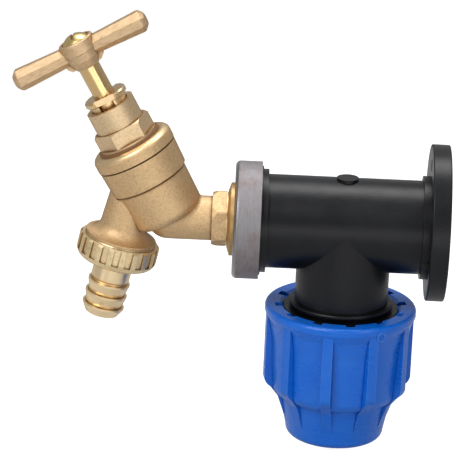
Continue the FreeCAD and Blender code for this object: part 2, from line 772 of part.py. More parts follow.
def build_tap_body():
    """Cast body: threaded inlet with hexagon, leaning valve chamber and spout."""
    body = new_body("tap_body")
    turned(body, "inlet", [
        (valve_x + d.inlet_bulge_offset - d.inlet_tube_radius, 0, d.inlet_tube_radius, CLOCKWISE),
        (valve_x + d.inlet_bulge_offset, d.inlet_tube_radius),
        (hex_left + d.inlet_hex_slope, d.inlet_tube_radius),
        (hex_left + d.inlet_hex_slope, d.inlet_thread_radius - d.inlet_hex_slope),
        (hex_right, d.inlet_thread_radius),
        (insert_front + d.inlet_thread_length - d.inlet_thread_chamfer, d.inlet_thread_radius),
        (insert_front + d.inlet_thread_length, d.inlet_thread_radius - d.inlet_thread_chamfer),
        (insert_front + d.inlet_thread_length, 0),
    ], axis="H_Axis")
    wrench = new_sketch(body, "wrench_outline", "YZ_Plane", height=hex_left)
    draw_polygon(wrench, d.inlet_hex_half_flats, 6, 90)
    extruded(body, "wrench_hexagon", wrench, d.inlet_hex_width)
    outside = d.inlet_hex_half_flats * 2
    rise = outside - d.inlet_hex_corner_radius
    turned(body, "hexagon_turning", [
        (hex_left - d.inlet_hex_width, d.inlet_hex_corner_radius - d.inlet_hex_slope),
        (hex_left, d.inlet_hex_corner_radius - d.inlet_hex_slope),
        (hex_left + d.inlet_hex_slope * 2, d.inlet_hex_corner_radius),
        (hex_right + d.inlet_hex_slope, d.inlet_hex_corner_radius),
        (hex_right + d.inlet_hex_slope, outside),
        (hex_left - d.inlet_hex_width, outside),
    ], axis="H_Axis", cut=True)
    chamber_place = {"across": collar_x, "up": collar_z, "turn": d.tap_lean_angle}
    line = -d.band_line_depth
    shoulder_radius = (d.collar_shoulder_width + d.collar_edge_drop + d.collar_face_rise) / 2 * REACH
    turned(body, "chamber", [
        (0, -d.chamber_depth),
        (d.chamber_end_radius - d.chamber_round, -d.chamber_depth, d.chamber_round, ANTICLOCKWISE),
        (d.chamber_end_radius, -d.chamber_depth + d.chamber_round),
        (d.chamber_top_radius, -d.band_depth - d.band_step_width),
        (d.band_end_radius, -d.band_depth),
        (d.band_radius, line - d.band_line_width),
        (d.band_radius - d.band_line_cut, line - d.band_line_width / 2),
        (d.collar_radius, line),
        (d.collar_radius, -d.collar_edge_drop, shoulder_radius, ANTICLOCKWISE),
        (d.collar_radius - d.collar_shoulder_width, d.collar_face_rise),
        (0, d.collar_face_rise),
    ], **chamber_place)
    spout_place = {"across": spout_x, "up": spout_z, "turn": -d.spout_lean_angle}
    disc_top = d.spout_disc_height + d.spout_disc_width
    turned(body, "spout", [
        (0, spout_end),
        (d.spout_thread_radius, spout_end),
        (d.spout_thread_radius, d.spout_disc_height),
        (d.spout_disc_radius, d.spout_disc_height),
        (d.spout_disc_radius, disc_top, d.spout_bell_radius, CLOCKWISE),
        (d.spout_neck_low_radius, d.spout_bell_height),
        (d.spout_neck_high_radius, d.spout_neck_height),
        (0, d.spout_neck_height),
    ], **spout_place)
    rounded(body, "casting_fillets", d.cast_fillet, casting_seam)
    thread_bore = d.bonnet_thread_radius + d.seat_gap
    chamber_top = bonnet_foot - d.seat_land_height
    turned(body, "chamber_bore", [
        (0, -d.seat_depth),
        (d.chamber_bore_radius, -d.seat_depth),
        (d.chamber_bore_radius, chamber_top),
        (thread_bore, chamber_top + (thread_bore - d.chamber_bore_radius)),
        (thread_bore, d.collar_face_rise * 2),
        (0, d.collar_face_rise * 2),
    ], cut=True, **chamber_place)
    turned(body, "seat_land", [
        (0, -d.seat_depth - d.seat_land_height),
        (d.seat_land_radius, -d.seat_depth - d.seat_land_height),
        (d.seat_land_radius, -d.seat_depth),
        (d.seat_land_radius - d.seat_land_height / 2, seat_top),
        (0, seat_top),
    ], **chamber_place)
    turned(body, "seat_bore", [
        (0, -d.chamber_height),
        (d.seat_bore_radius, -d.chamber_height),
        (d.seat_bore_radius, seat_top + d.seat_land_height),
        (0, seat_top + d.seat_land_height),
    ], cut=True, **chamber_place)
    turned(body, "inlet_bore", [
        (valve_x, 0),
        (valve_x, d.inlet_water_radius),
        (insert_front + d.inlet_thread_length * 2, d.inlet_water_radius),
        (insert_front + d.inlet_thread_length * 2, 0),
    ], axis="H_Axis", cut=True)
    turned(body, "spout_bore", [
        (0, spout_end - d.spout_disc_width),
        (d.spout_water_radius, spout_end - d.spout_disc_width),
        (d.spout_water_radius, d.spout_channel_start - (d.spout_water_radius - d.spout_channel_radius)),
        (d.spout_channel_radius, d.spout_channel_start),
        (d.spout_channel_radius, spout_channel_top),
        (0, spout_channel_top),
    ], cut=True, **spout_place)
    return body


def casting_seam(edge):
    """The curved seam where the inlet runs into the chamber, right of the valve axis."""
    curved = not isinstance(edge.Curve, (Part.Circle, Part.Line, Part.Hyperbola))
    left_end = valve_x.value + d.inlet_bulge_offset.value - d.seat_gap.value
    return curved and left_end <= edge.BoundBox.XMin and edge.BoundBox.XMax < hex_left.value


def on_valve_axis(body):
    return place_body(body, collar_x, collar_z, turn=-d.tap_lean_angle)


def on_spout_axis(body):
    return place_body(body, spout_x, spout_z, turn=d.spout_lean_angle)


def on_branch_axis(body, turn=ZERO):
    return place_body(body, branch_x, ZERO, axis=(0, 0, 1), turn=turn)


def build_headworks_bonnet():
    """Bonnet that screws into the chamber, with its hexagon and open barrel."""
    body = new_body("headworks_bonnet")
    screw_bore = d.screw_radius + d.running_gap
    gland_bore = d.gland_thread_radius + d.thread_gap
    turned(body, "barrel", [
        (screw_bore, bonnet_foot),
        (d.bonnet_thread_radius, bonnet_foot),
        (d.bonnet_thread_radius, bonnet_flange_base),
        (d.bonnet_flange_radius, bonnet_flange_base),
        (d.bonnet_flange_radius, bonnet_hex_base),
        (d.bonnet_barrel_radius, bonnet_hex_base),
        (d.bonnet_barrel_radius, d.bonnet_barrel_top),
        (d.bonnet_mouth_radius, d.bonnet_barrel_top),
        (d.bonnet_mouth_radius, mouth_floor),
        (gland_bore, mouth_floor),
        (gland_bore, d.packing_floor),
        (screw_bore, d.packing_floor),
    ])
    wrench = new_sketch(body, "wrench_outline", "XY_Plane", height=bonnet_hex_base, turn=d.bonnet_hex_angle)
    draw_polygon(wrench, d.bonnet_hex_half_flats, 6, 0)
    draw_circle(wrench, ZERO, ZERO, (gland_bore + d.bonnet_barrel_radius) / 2)
    extruded(body, "wrench_hexagon", wrench, d.bonnet_hex_height)
    outside = d.bonnet_hex_half_flats * 2
    turned(body, "hexagon_turning", [
        (d.bonnet_hex_corner_radius, bonnet_hex_base - d.bonnet_hex_slope),
        (outside, bonnet_hex_base - d.bonnet_hex_slope),
        (outside, bonnet_hex_top + d.bonnet_hex_slope),
        (d.bonnet_hex_half_flats, bonnet_hex_top + d.bonnet_hex_slope / 2),
        (d.bonnet_hex_corner_radius, bonnet_hex_top - d.bonnet_hex_slope),
    ], cut=True)
    return on_valve_axis(body)


def build_bonnet_washer():
    body = new_body("bonnet_washer")
    inner = d.bonnet_thread_radius + d.seat_gap
    turned(body, "washer", [
        (inner, bonnet_washer_base),
        (d.bonnet_washer_radius, bonnet_washer_base),
        (d.bonnet_washer_radius, bonnet_flange_base),
        (inner, bonnet_flange_base),
    ])
    return on_valve_axis(body)


def build_spindle():
    """Spindle: screwed foot that holds the jumper, round stem and square end for the handle."""
    body = new_body("spindle")
    jumper_roof = spindle_foot + d.jumper_bore_depth
    screw_hole_floor = d.square_top - d.handle_screw_hole_depth
    shank_hole = d.cap_screw_shank_radius + d.seat_gap
    foot_step = d.screw_radius - d.screw_foot_radius
    turned(body, "stem", [
        (d.jumper_bore_radius, spindle_foot),
        (d.screw_foot_radius, spindle_foot),
        (d.screw_radius, spindle_foot + foot_step),
        (d.screw_radius, d.screw_top - foot_step),
        (d.stem_radius, d.screw_top),
        (d.stem_radius, d.stem_shoulder),
        (0, d.stem_shoulder),
        (0, jumper_roof),
        (d.jumper_bore_radius, jumper_roof),
    ])
    square = new_sketch(body, "square_outline", "XY_Plane", height=d.stem_shoulder)
    draw_polygon(square, d.square_half_width, 4, 45)
    extruded(body, "square_end", square, d.square_top - d.stem_shoulder)
    turned(body, "screw_hole", [
        (0, screw_hole_floor),
        (shank_hole, screw_hole_floor),
        (shank_hole, d.square_top + d.square_half_width),
        (0, d.square_top + d.square_half_width),
    ], cut=True)
    return on_valve_axis(body)


def build_jumper_valve():
    """Loose jumper: stem in the spindle, plate over the washer and stud for its nut."""
    body = new_body("jumper_valve")
    stud_foot = jumper_plate_base - d.jumper_stud_length
    stem_top = jumper_plate_top + d.jumper_stem_length
    turned(body, "jumper", [
        (0, stud_foot),
        (d.jumper_stud_radius, stud_foot),
        (d.jumper_stud_radius, jumper_plate_base),
        (d.jumper_plate_radius, jumper_plate_base),
        (d.jumper_plate_radius, jumper_plate_top - d.jumper_plate_thickness / 3),
        (d.jumper_plate_radius - d.jumper_plate_thickness / 3, jumper_plate_top),
        (d.jumper_stem_radius, jumper_plate_top),
        (d.jumper_stem_radius, stem_top),
        (0, stem_top),
    ])
    return on_valve_axis(body)


def build_tap_washer():
    body = new_body("tap_washer")
    inner = d.jumper_stud_radius + d.seat_gap
    turned(body, "washer", [
        (inner, tap_washer_base),
        (d.tap_washer_radius, tap_washer_base),
        (d.tap_washer_radius, jumper_plate_base),
        (inner, jumper_plate_base),
    ])
    return on_valve_axis(body)


def build_washer_nut():
    body = new_body("washer_nut")
    nut = new_sketch(body, "nut_outline", "XY_Plane", height=tap_washer_base)
    draw_polygon(nut, d.washer_nut_half_flats, 6, 0)
    draw_circle(nut, ZERO, ZERO, d.jumper_stud_radius + d.seat_gap)
    extruded(body, "nut", nut, d.washer_nut_thickness, backwards=True)
    return on_valve_axis(body)


def build_gland_packing():
    return build_gland_ring("gland_packing", packing_base, packing_top)


def build_gland_follower():
    return build_gland_ring("gland_follower", follower_base, follower_top)


def build_gland_ring(label, base, top):
    """A ring between the stem and the wall of the gland bore."""
    body = new_body(label)
    inner = d.stem_radius + d.running_gap
    outer = d.gland_thread_radius + d.thread_gap - d.running_gap
    turned(body, "ring", [(inner, base), (outer, base), (outer, top), (inner, top)])
    return on_valve_axis(body)


def build_gland_nut():
    """Gland nut: round neck between two lobes, under a head with two notches."""
    body = new_body("gland_nut")
    inner = d.stem_radius + d.running_gap
    ease = d.gland_head_thickness / 5
    turned(body, "gland", [
        (inner, gland_foot),
        (d.gland_thread_radius, gland_foot),
        (d.gland_thread_radius, d.gland_lobe_foot),
        (d.gland_lobe_radius, d.gland_lobe_foot),
        (d.gland_lobe_radius, d.gland_head_base),
        (d.gland_head_radius - ease, d.gland_head_base),
        (d.gland_head_radius, d.gland_head_base + ease),
        (d.gland_head_radius, gland_top - ease),
        (d.gland_head_radius - ease, gland_top),
        (inner, gland_top),
    ])
    beyond = d.gland_head_radius * REACH
    half_gap = d.gland_lobe_gap / 2
    gap = new_sketch(body, "gap_outline", "XY_Plane", height=d.gland_head_base)
    draw_block(gap, -half_gap, -beyond, half_gap, beyond)
    extruded(body, "gap_between_lobes", gap, d.gland_head_base - d.gland_lobe_foot, cut=True)
    turned(body, "neck", [
        (inner, d.gland_lobe_foot - ease),
        (d.gland_neck_radius, d.gland_lobe_foot - ease),
        (d.gland_neck_radius, d.gland_head_base + ease),
        (inner, d.gland_head_base + ease),
    ])
    notch = new_sketch(body, "notch_outline", "XY_Plane", height=gland_top + ease)
    half_slot = d.gland_slot_width / 2
    draw_block(notch, -half_slot, -beyond, half_slot, -d.gland_slot_distance)
    cut = extruded(body, "notch", notch, d.gland_head_thickness * REACH, cut=True)
    mirrored(body, "notches", cut, "XZ_Plane")
    return on_valve_axis(body)


def build_crutch_handle():
    """Cast handle: hub with a screw recess, two eight-sided arms and a lug under each."""
    body = new_body("crutch_handle")
    shank_hole = d.cap_screw_shank_radius + d.face_gap
    turned(body, "hub", [
        (0, d.hub_foot),
        (d.hub_foot_radius, d.hub_foot),
        (d.hub_taper_radius, d.hub_taper_height),
        (d.hub_waist_radius, d.hub_waist_height),
        (d.hub_top_radius - d.hub_line_step, d.arm_height - d.hub_line_step),
        (d.hub_top_radius, d.arm_height),
        (d.hub_top_radius, d.hub_top - d.hub_rim_round, d.hub_rim_round, ANTICLOCKWISE),
        (d.hub_top_radius - d.hub_rim_round, d.hub_top),
        (0, d.hub_top),
    ])
    arm = add_arm(body)
    mirrored(body, "second_arm", arm, "YZ_Plane")
    rounded(body, "arm_rounding", d.arm_edge_round, arm_edge)
    lug = new_sketch(body, "lug_outline", "XZ_Plane")
    draw_outline(lug, [
        (0, d.lug_base_height),
        (d.lug_reach - d.lug_slope, d.lug_base_height),
        (d.lug_reach, d.lug_base_height + d.lug_slope),
        (d.lug_reach + d.lug_slope / 2, d.arm_height),
        (0, d.arm_height),
    ])
    lug_pad = extruded(body, "lug", lug, d.lug_width, both_ways=True)
    mirrored(body, "second_lug", lug_pad, "YZ_Plane")
    turned(body, "screw_recess", [
        (0, hub_recess_floor),
        (d.hub_recess_radius, hub_recess_floor),
        (d.hub_recess_radius, d.hub_top * 2),
        (0, d.hub_top * 2),
    ], cut=True)
    turned(body, "shank_hole", [
        (0, d.square_top - d.seat_gap),
        (shank_hole, d.square_top - d.seat_gap),
        (shank_hole, d.hub_top),
        (0, d.hub_top),
    ], cut=True)
    square = new_sketch(body, "square_outline", "XY_Plane", height=d.stem_shoulder - d.seat_gap)
    draw_polygon(square, d.square_half_width + d.seat_gap, 4, 45)
    square_depth = d.square_top - d.stem_shoulder + d.seat_gap * 2
    extruded(body, "square_socket", square, square_depth, cut=True, backwards=True)
    turned(body, "stem_socket", [
        (0, 0),
        (d.stem_radius + d.seat_gap, 0),
        (d.stem_radius + d.seat_gap, d.stem_shoulder + d.seat_gap),
        (0, d.stem_shoulder + d.seat_gap),
    ], cut=True)
    return on_valve_axis(body)


def add_arm(body):
    """Lofts one eight-sided arm that swells outwards and ends in a sloped tip."""
    stations = [
        (ZERO, d.arm_root_radius),
        (d.arm_length - d.arm_tip_length, d.arm_end_radius),
        (d.arm_length, d.arm_tip_radius),
    ]
    volume = body_volume(body)
    sections = []
    for index, (distance, half_flats) in enumerate(stations):
        section = new_sketch(body, f"arm_section_{index}", "YZ_Plane", up=d.arm_height, height=distance)
        draw_polygon(section, half_flats, 8, 22.5)
        sections.append(section)
    arm = body.newObject("PartDesign::AdditiveLoft", "arm")
    arm.Profile = sections[0]
    arm.Sections = sections[1:]
    arm.Ruled = True
    return checked(body, arm, volume, cut=False)


def arm_edge(edge):
    """The long edges of both arms and the edges of their sloped tips."""
    reach = max(abs(edge.BoundBox.XMin), abs(edge.BoundBox.XMax))
    return isinstance(edge.Curve, Part.Line) and reach > (d.arm_length - d.arm_tip_length).value - GRAZE


def build_handle_screw():
    """Domed slotted screw that holds the handle on the spindle."""
    body = new_body("handle_screw")
    base = hub_recess_floor + d.seat_gap
    shank_foot = base - d.cap_screw_shank_length
    dome_base = base + d.cap_screw_edge
    dome_radius = (d.cap_screw_radius * d.cap_screw_radius / d.cap_screw_dome + d.cap_screw_dome) / 2
    turned(body, "screw", [
        (0, shank_foot),
        (d.cap_screw_shank_radius, shank_foot),
        (d.cap_screw_shank_radius, base),
        (d.cap_screw_radius, base),
        (d.cap_screw_radius, dome_base, dome_radius, ANTICLOCKWISE),
        (0, dome_base + d.cap_screw_dome),
    ])
    slot = new_sketch(body, "slot_outline", "XZ_Plane")
    half_slot = d.cap_screw_slot_width / 2
    dome_top = dome_base + d.cap_screw_dome
    draw_block(slot, -half_slot, dome_top - d.cap_screw_slot_depth, half_slot, dome_top * 2)
    extruded(body, "driver_slot", slot, d.cap_screw_radius * 3, cut=True, both_ways=True)
    return on_valve_axis(body)


def build_hose_union_nut():
    """Union nut with slotted grip, rounded foot and inner lip."""
    body = new_body("hose_union_nut")
    thread = d.spout_thread_radius + d.thread_gap
    mouth_step = d.union_mouth_radius - thread
    lip_top = d.union_foot + d.union_lip_width
    turned(body, "nut", [
        (d.union_lip_radius, d.union_foot),
        (d.union_foot_radius, d.union_foot, d.union_round, ANTICLOCKWISE),
        (d.union_radius, d.union_foot + d.union_round),
        (d.union_radius, d.union_top - d.union_chamfer),
        (d.union_radius - d.union_chamfer, d.union_top),
        (d.union_mouth_radius, d.union_top),
        (thread, d.union_top - mouth_step),
        (thread, lip_top),
        (d.union_lip_radius, lip_top),
    ])
    slot = new_sketch(body, "slot_outline", "XZ_Plane")
    draw_block(slot, d.union_slot_floor_radius, d.union_slot_base, d.union_radius * REACH, d.union_top * REACH)
    cut = extruded(body, "grip_slot", slot, d.union_slot_width, cut=True, both_ways=True)
    around(body, "grip_slots", cut, (origin_part(body, "Z_Axis"), [""]), d.union_slot_count)
    return on_spout_axis(body)


def build_hose_union_washer():
    body = new_body("hose_union_washer")
    outer = d.tail_flange_radius
    turned(body, "washer", [
        (d.tail_radius, washer_base),
        (outer, washer_base),
        (outer, washer_top),
        (d.tail_radius, washer_top),
    ])
    return on_spout_axis(body)


def build_hose_tail():
    """Barbed tail with a flange that the union nut holds."""
    body = new_body("hose_tail")
    outline = [
        (d.tail_bore_radius, tail_flange_top),
        (d.tail_bore_radius, 0),
        (d.tail_tip_radius, 0),
    ]
    for index in reversed(range(int(d.tail_barb_count.value))):
        crest = d.tail_first_crest - d.tail_barb_pitch * index
        outline += [
            (d.tail_barb_radius, crest - d.tail_barb_land),
            (d.tail_barb_radius, crest),
            (d.tail_barb_root_radius, crest),
        ]
    outline += [
        (d.tail_barb_root_radius, d.tail_first_crest + d.tail_barb_land),
        (d.tail_radius, d.tail_first_crest + d.tail_barb_land * 2),
        (d.tail_radius, tail_flange_base),
        (d.tail_flange_radius, tail_flange_base),
        (d.tail_flange_radius, tail_flange_top),
    ]
    turned(body, "tail", outline)
    return on_spout_axis(body)


def build_compression_nut():
    """Blue nut: flared rim, tapered wall with ribs, shoulder and skirt."""
    body = new_body("compression_nut")
    thread = d.male_radius + d.thread_gap
    mouth = thread + d.nut_mouth_chamfer
    rim = mouth + d.nut_rim_land
    wall = thread + d.nut_wall
    wall_top = wall + d.nut_wall_taper
    shoulder = nut_top - d.nut_shoulder_height
    skirt_top = shoulder - d.nut_shoulder_round
    foot_top = nut_top - d.nut_foot_height
    shoulder_foot = wall - d.nut_shoulder_step
    turned(body, "shell", [
        (d.nut_pipe_radius, nut_foot),
        (d.nut_foot_face_radius, nut_foot, d.nut_foot_round, ANTICLOCKWISE),
        (d.nut_foot_radius, foot_top),
        (d.nut_skirt_radius, skirt_top),
        (shoulder_foot, skirt_top + d.nut_shoulder_step / 4, d.nut_shoulder_round, ANTICLOCKWISE),
        (wall, shoulder),
        (wall_top, nut_top - d.nut_wall_top),
        (wall_top + d.nut_flare, nut_top - d.nut_flare_height),
        (rim, nut_top - d.nut_rim_height),
        (rim, nut_top - d.nut_rim_round, d.nut_rim_round, ANTICLOCKWISE),
        (rim - d.nut_rim_round, nut_top),
        (mouth, nut_top),
        (thread, nut_top - d.nut_mouth_chamfer),
        (thread, bush_foot),
        (d.grip_top_radius + d.thread_gap, grip_top),
        (d.grip_foot_radius + d.thread_gap, grip_foot),
        (d.grip_foot_radius + d.thread_gap, grip_foot - d.face_gap),
        (d.nut_pipe_radius, grip_foot - d.face_gap),
    ])
    rib = new_sketch(body, "rib_outline", "XZ_Plane")
    root = (thread + wall) / 2
    crest = wall + d.nut_rib_rise
    corner = nut_top - d.nut_rib_end_height
    fade = nut_top - d.nut_rib_fade_height
    skirt_crest = d.nut_skirt_radius + d.nut_rib_skirt_rise
    draw_outline(rib, [
        (root, nut_top - d.nut_rim_height),
        (root, corner),
        (d.nut_foot_radius, skirt_top),
        (d.nut_foot_face_radius, fade),
        (d.nut_foot_radius - d.nut_rib_skirt_rise / 4, fade),
        (skirt_crest, skirt_top),
        (crest - d.nut_rib_round / 2, corner - d.nut_rib_round / 2, d.nut_rib_round, ANTICLOCKWISE),
        (crest, corner + d.nut_rib_round / 4),
        (crest, nut_top - d.nut_rim_height),
    ])
    rib_pad = extruded(body, "rib", rib, d.nut_rib_width, both_ways=True)
    upright = (origin_part(body, "Z_Axis"), [""])
    around(body, "ribs", rib_pad, upright, d.nut_rib_count)
    notch = new_sketch(body, "notch_outline", "XZ_Plane")
    notch_foot = nut_top - d.nut_notch_depth
    draw_block(notch, d.nut_pipe_radius, notch_foot, mouth + d.nut_notch_reach, nut_top + d.nut_notch_depth)
    cut = extruded(body, "notch", notch, d.nut_notch_width, cut=True, both_ways=True)
    around(body, "notches", cut, upright, d.nut_notch_count)
    add_mould_mark(body, root, rim - d.nut_rim_round + d.nut_mark_rise)
    return on_branch_axis(body, turn=d.nut_rib_angle)


def add_mould_mark(body, root, face):
    """Small round mark of the mould's gate below the rim: a disc with a groove round its dot."""
    level = nut_top - d.nut_mark_height
    disc = new_sketch(body, "mark_outline", "YZ_Plane", height=root)
    draw_circle(disc, d.nut_mark_offset, level, d.nut_mark_radius)
    extruded(body, "mark", disc, face - root)
    groove = new_sketch(body, "groove_outline", "YZ_Plane", height=face - d.nut_mark_rise)
    draw_circle(groove, d.nut_mark_offset, level, d.nut_mark_radius - d.nut_mark_groove)
    draw_circle(groove, d.nut_mark_offset, level, d.nut_mark_dot_radius)
    extruded(body, "mark_groove", groove, d.nut_mark_rise * 2, cut=True, backwards=True)


def build_pressing_bush():
    """Bush that presses the seal into the mouth of the branch."""
    body = new_body("pressing_bush")
    sleeve_top = bush_top + d.face_gap + d.bush_sleeve_length
    turned(body, "bush", [
        (d.bush_bore_radius, bush_foot),
        (d.bush_flange_radius, bush_foot),
        (d.bush_flange_radius, bush_top),
        (d.bush_sleeve_radius, bush_top),
        (d.bush_sleeve_radius, sleeve_top),
        (d.bush_bore_radius, sleeve_top),
    ])
    return on_branch_axis(body)


def build_grip_ring():
    """Split ring with inner teeth that bites on the pipe."""
    body = new_body("grip_ring")
    outline = [
        (d.grip_bore_radius + d.grip_tooth_depth, grip_foot),
        (d.grip_foot_radius, grip_foot),
        (d.grip_top_radius, grip_top),
        (d.grip_bore_radius + d.grip_tooth_depth, grip_top),
    ]
    for index in range(int(d.grip_tooth_count.value)):
        tooth_top = grip_top - d.grip_tooth_pitch * (index + 0.5)
        outline += [
            (d.grip_bore_radius + d.grip_tooth_depth, tooth_top),
            (d.grip_bore_radius, tooth_top - d.grip_tooth_pitch / 4),
            (d.grip_bore_radius, tooth_top - d.grip_tooth_pitch / 2),
        ]
    turned(body, "ring", outline)
    split = new_sketch(body, "split_outline", "XZ_Plane")
    draw_block(
        split, d.grip_bore_radius / REACH, grip_foot * REACH, d.grip_top_radius * REACH, grip_top / REACH
    )
    extruded(body, "split", split, d.grip_split_width, cut=True, both_ways=True)
    return on_branch_axis(body)


def build_pipe_seal():
    """Rubber ring that seals on the pipe."""
    body = new_body("pipe_seal")
    sketch = new_sketch(body, "cord_outline")
    cord_distance = d.pipe_radius + d.seat_gap + d.seal_cord_radius
    draw_circle(sketch, cord_distance, seal_pocket_top - d.seat_gap - d.seal_cord_radius, d.seal_cord_radius)
    ring = body.newObject("PartDesign::Revolution", "ring")
    ring.Profile = sketch
    ring.ReferenceAxis = (sketch, ["V_Axis"])
    ring.Angle = 360
    return on_branch_axis(body)


BUILDERS = [
    build_fitting_body,
    build_reinforcing_ring,
    build_threaded_insert,
    build_tap_body,
    build_headworks_bonnet,
    build_bonnet_washer,
    build_spindle,
    build_jumper_valve,
    build_tap_washer,
    build_washer_nut,
    build_gland_packing,
    build_gland_follower,
    build_gland_nut,
    build_crutch_handle,
    build_handle_screw,
    build_hose_union_nut,
    build_hose_union_washer,
    build_hose_tail,
    build_compression_nut,
    build_pressing_bush,
    build_grip_ring,
    build_pipe_seal,
]

bodies = [build() for build in BUILDERS]
doc.recompute()
faults = [item.Label for item in doc.Objects if {"Invalid", "Error"} & set(item.State)]
faults += [body.Label for body in bodies if body.Shape.isNull() or not body.Shape.isValid()]
if faults:
    raise RuntimeError(f"these did not build: {faults}")

os.makedirs("parts", exist_ok=True)
for body in bodies:
    body.Shape.exportStep(f"parts/{body.Label}.step")
    print(f"{body.Label:20s} solids {len(body.Shape.Solids)}  volume {body.Shape.Volume:10.1f}")
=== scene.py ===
"""Finishes, screw threads and studio for a bib tap on a wall-plate elbow.

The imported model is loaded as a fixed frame. Each sub-assembly below dresses its own nodes of the
frame and adds the pieces that the solids leave out. Lengths are in metres, as the frame's are.
"""

import logging
import math
from dataclasses import dataclass
from enum import Enum

import bpy
from mathutils import Matrix, Vector


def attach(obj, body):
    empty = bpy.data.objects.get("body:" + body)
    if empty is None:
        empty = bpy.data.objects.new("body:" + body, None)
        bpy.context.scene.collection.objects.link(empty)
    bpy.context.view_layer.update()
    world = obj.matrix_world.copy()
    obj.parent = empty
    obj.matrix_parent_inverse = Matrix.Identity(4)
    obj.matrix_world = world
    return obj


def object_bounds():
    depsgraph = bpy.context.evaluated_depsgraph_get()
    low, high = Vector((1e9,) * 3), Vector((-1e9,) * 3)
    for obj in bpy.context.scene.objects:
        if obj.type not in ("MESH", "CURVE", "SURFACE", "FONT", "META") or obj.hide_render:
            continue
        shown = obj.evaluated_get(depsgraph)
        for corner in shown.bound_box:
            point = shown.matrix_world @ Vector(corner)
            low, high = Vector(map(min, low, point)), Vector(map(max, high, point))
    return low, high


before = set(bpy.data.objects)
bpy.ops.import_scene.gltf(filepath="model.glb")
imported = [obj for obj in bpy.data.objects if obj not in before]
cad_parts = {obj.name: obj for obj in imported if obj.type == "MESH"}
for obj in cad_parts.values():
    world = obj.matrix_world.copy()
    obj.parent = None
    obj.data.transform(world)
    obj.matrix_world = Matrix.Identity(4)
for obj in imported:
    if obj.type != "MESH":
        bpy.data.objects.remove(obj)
CAD_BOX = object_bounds()
bpy.ops.object.select_all(action="DESELECT")

LOG = logging.getLogger("bib_tap")

Colour = tuple[float, float, float]
Triple = tuple[float, float, float]
MM = 0.001


def from_display(red: int, green: int, blue: int) -> Colour:
    """Turns a colour as a screen shows it into the light that a shader counts in.

    Args:
        red: Red, from 0 to 255.
        green: Green, from 0 to 255.
        blue: Blue, from 0 to 255.

    Returns:
        The same colour, each part from 0 to 1 and linear.
    """
    parts = (red / 255, green / 255, blue / 255)
    return tuple(p / 12.92 if p <= 0.04045 else ((p + 0.055) / 1.055) ** 2.4 for p in parts)


class Axis(Enum):
    """The axes that the pieces are turned about: a point on each, and its lean about Y."""

    LEVEL = ((0.0, 0.0, 0.0), 90.0)
    VALVE = ((-0.123901, 0.0, 0.028663), -29.4)
    SPOUT = ((-0.13345, 0.0, -0.04095), 12.0)
    BRANCH = ((-0.0394, 0.0, 0.0), 0.0)

    @property
    def origin(self) -> Vector:
        """The point that distances along the axis are counted from."""
        return Vector(self.value[0])

    @property
    def lean(self) -> float:
        """The turn about Y, in radians, that brings Z onto the axis."""
        return math.radians(self.value[1])

    def matrix(self) -> Matrix:
        """The place and turn of a piece that was made about Z at the origin."""
        return Matrix.Translation(self.origin) @ Matrix.Rotation(self.lean, 4, "Y")


class Value:
    """What one node socket gives, so that shader maths reads as Python."""

    def __init__(self, graph: "Graph", socket: bpy.types.NodeSocket) -> None:
        """Keeps the socket and the graph that it is in."""
        self.graph = graph
        self.socket = socket

    def __add__(self, other: "Value | float") -> "Value":
        """Gives self + other."""
        return self.graph.maths("ADD", self, other)

    def __radd__(self, other: float) -> "Value":
        """Gives other + self."""
        return self.graph.maths("ADD", other, self)

    def __sub__(self, other: "Value | float") -> "Value":
        """Gives self - other."""
        return self.graph.maths("SUBTRACT", self, other)

    def __rsub__(self, other: float) -> "Value":
        """Gives other - self."""
        return self.graph.maths("SUBTRACT", other, self)

    def __mul__(self, other: "Value | float") -> "Value":
        """Gives self * other."""
        return self.graph.maths("MULTIPLY", self, other)

    def __pow__(self, other: float) -> "Value":
        """Gives self to the power of other."""
        return self.graph.maths("POWER", self, other)

    def size(self) -> "Value":
        """Gives the number without its sign."""
        return self.graph.maths("ABSOLUTE", self)

    def step(self, start: float, end: float) -> "Value":
        """Rises smoothly from 0 to 1 while the number goes from start to end.

        Args:
            start: Where the rise starts. It may be above end.
            end: Where it ends.

        Returns:
            A number from 0 to 1.
        """
        settings = {"interpolation_type": "SMOOTHSTEP", "clamp": True}
        return self.graph.node("ShaderNodeMapRange", settings, {0: self, 1: start, 2: end, 3: 0.0, 4: 1.0})


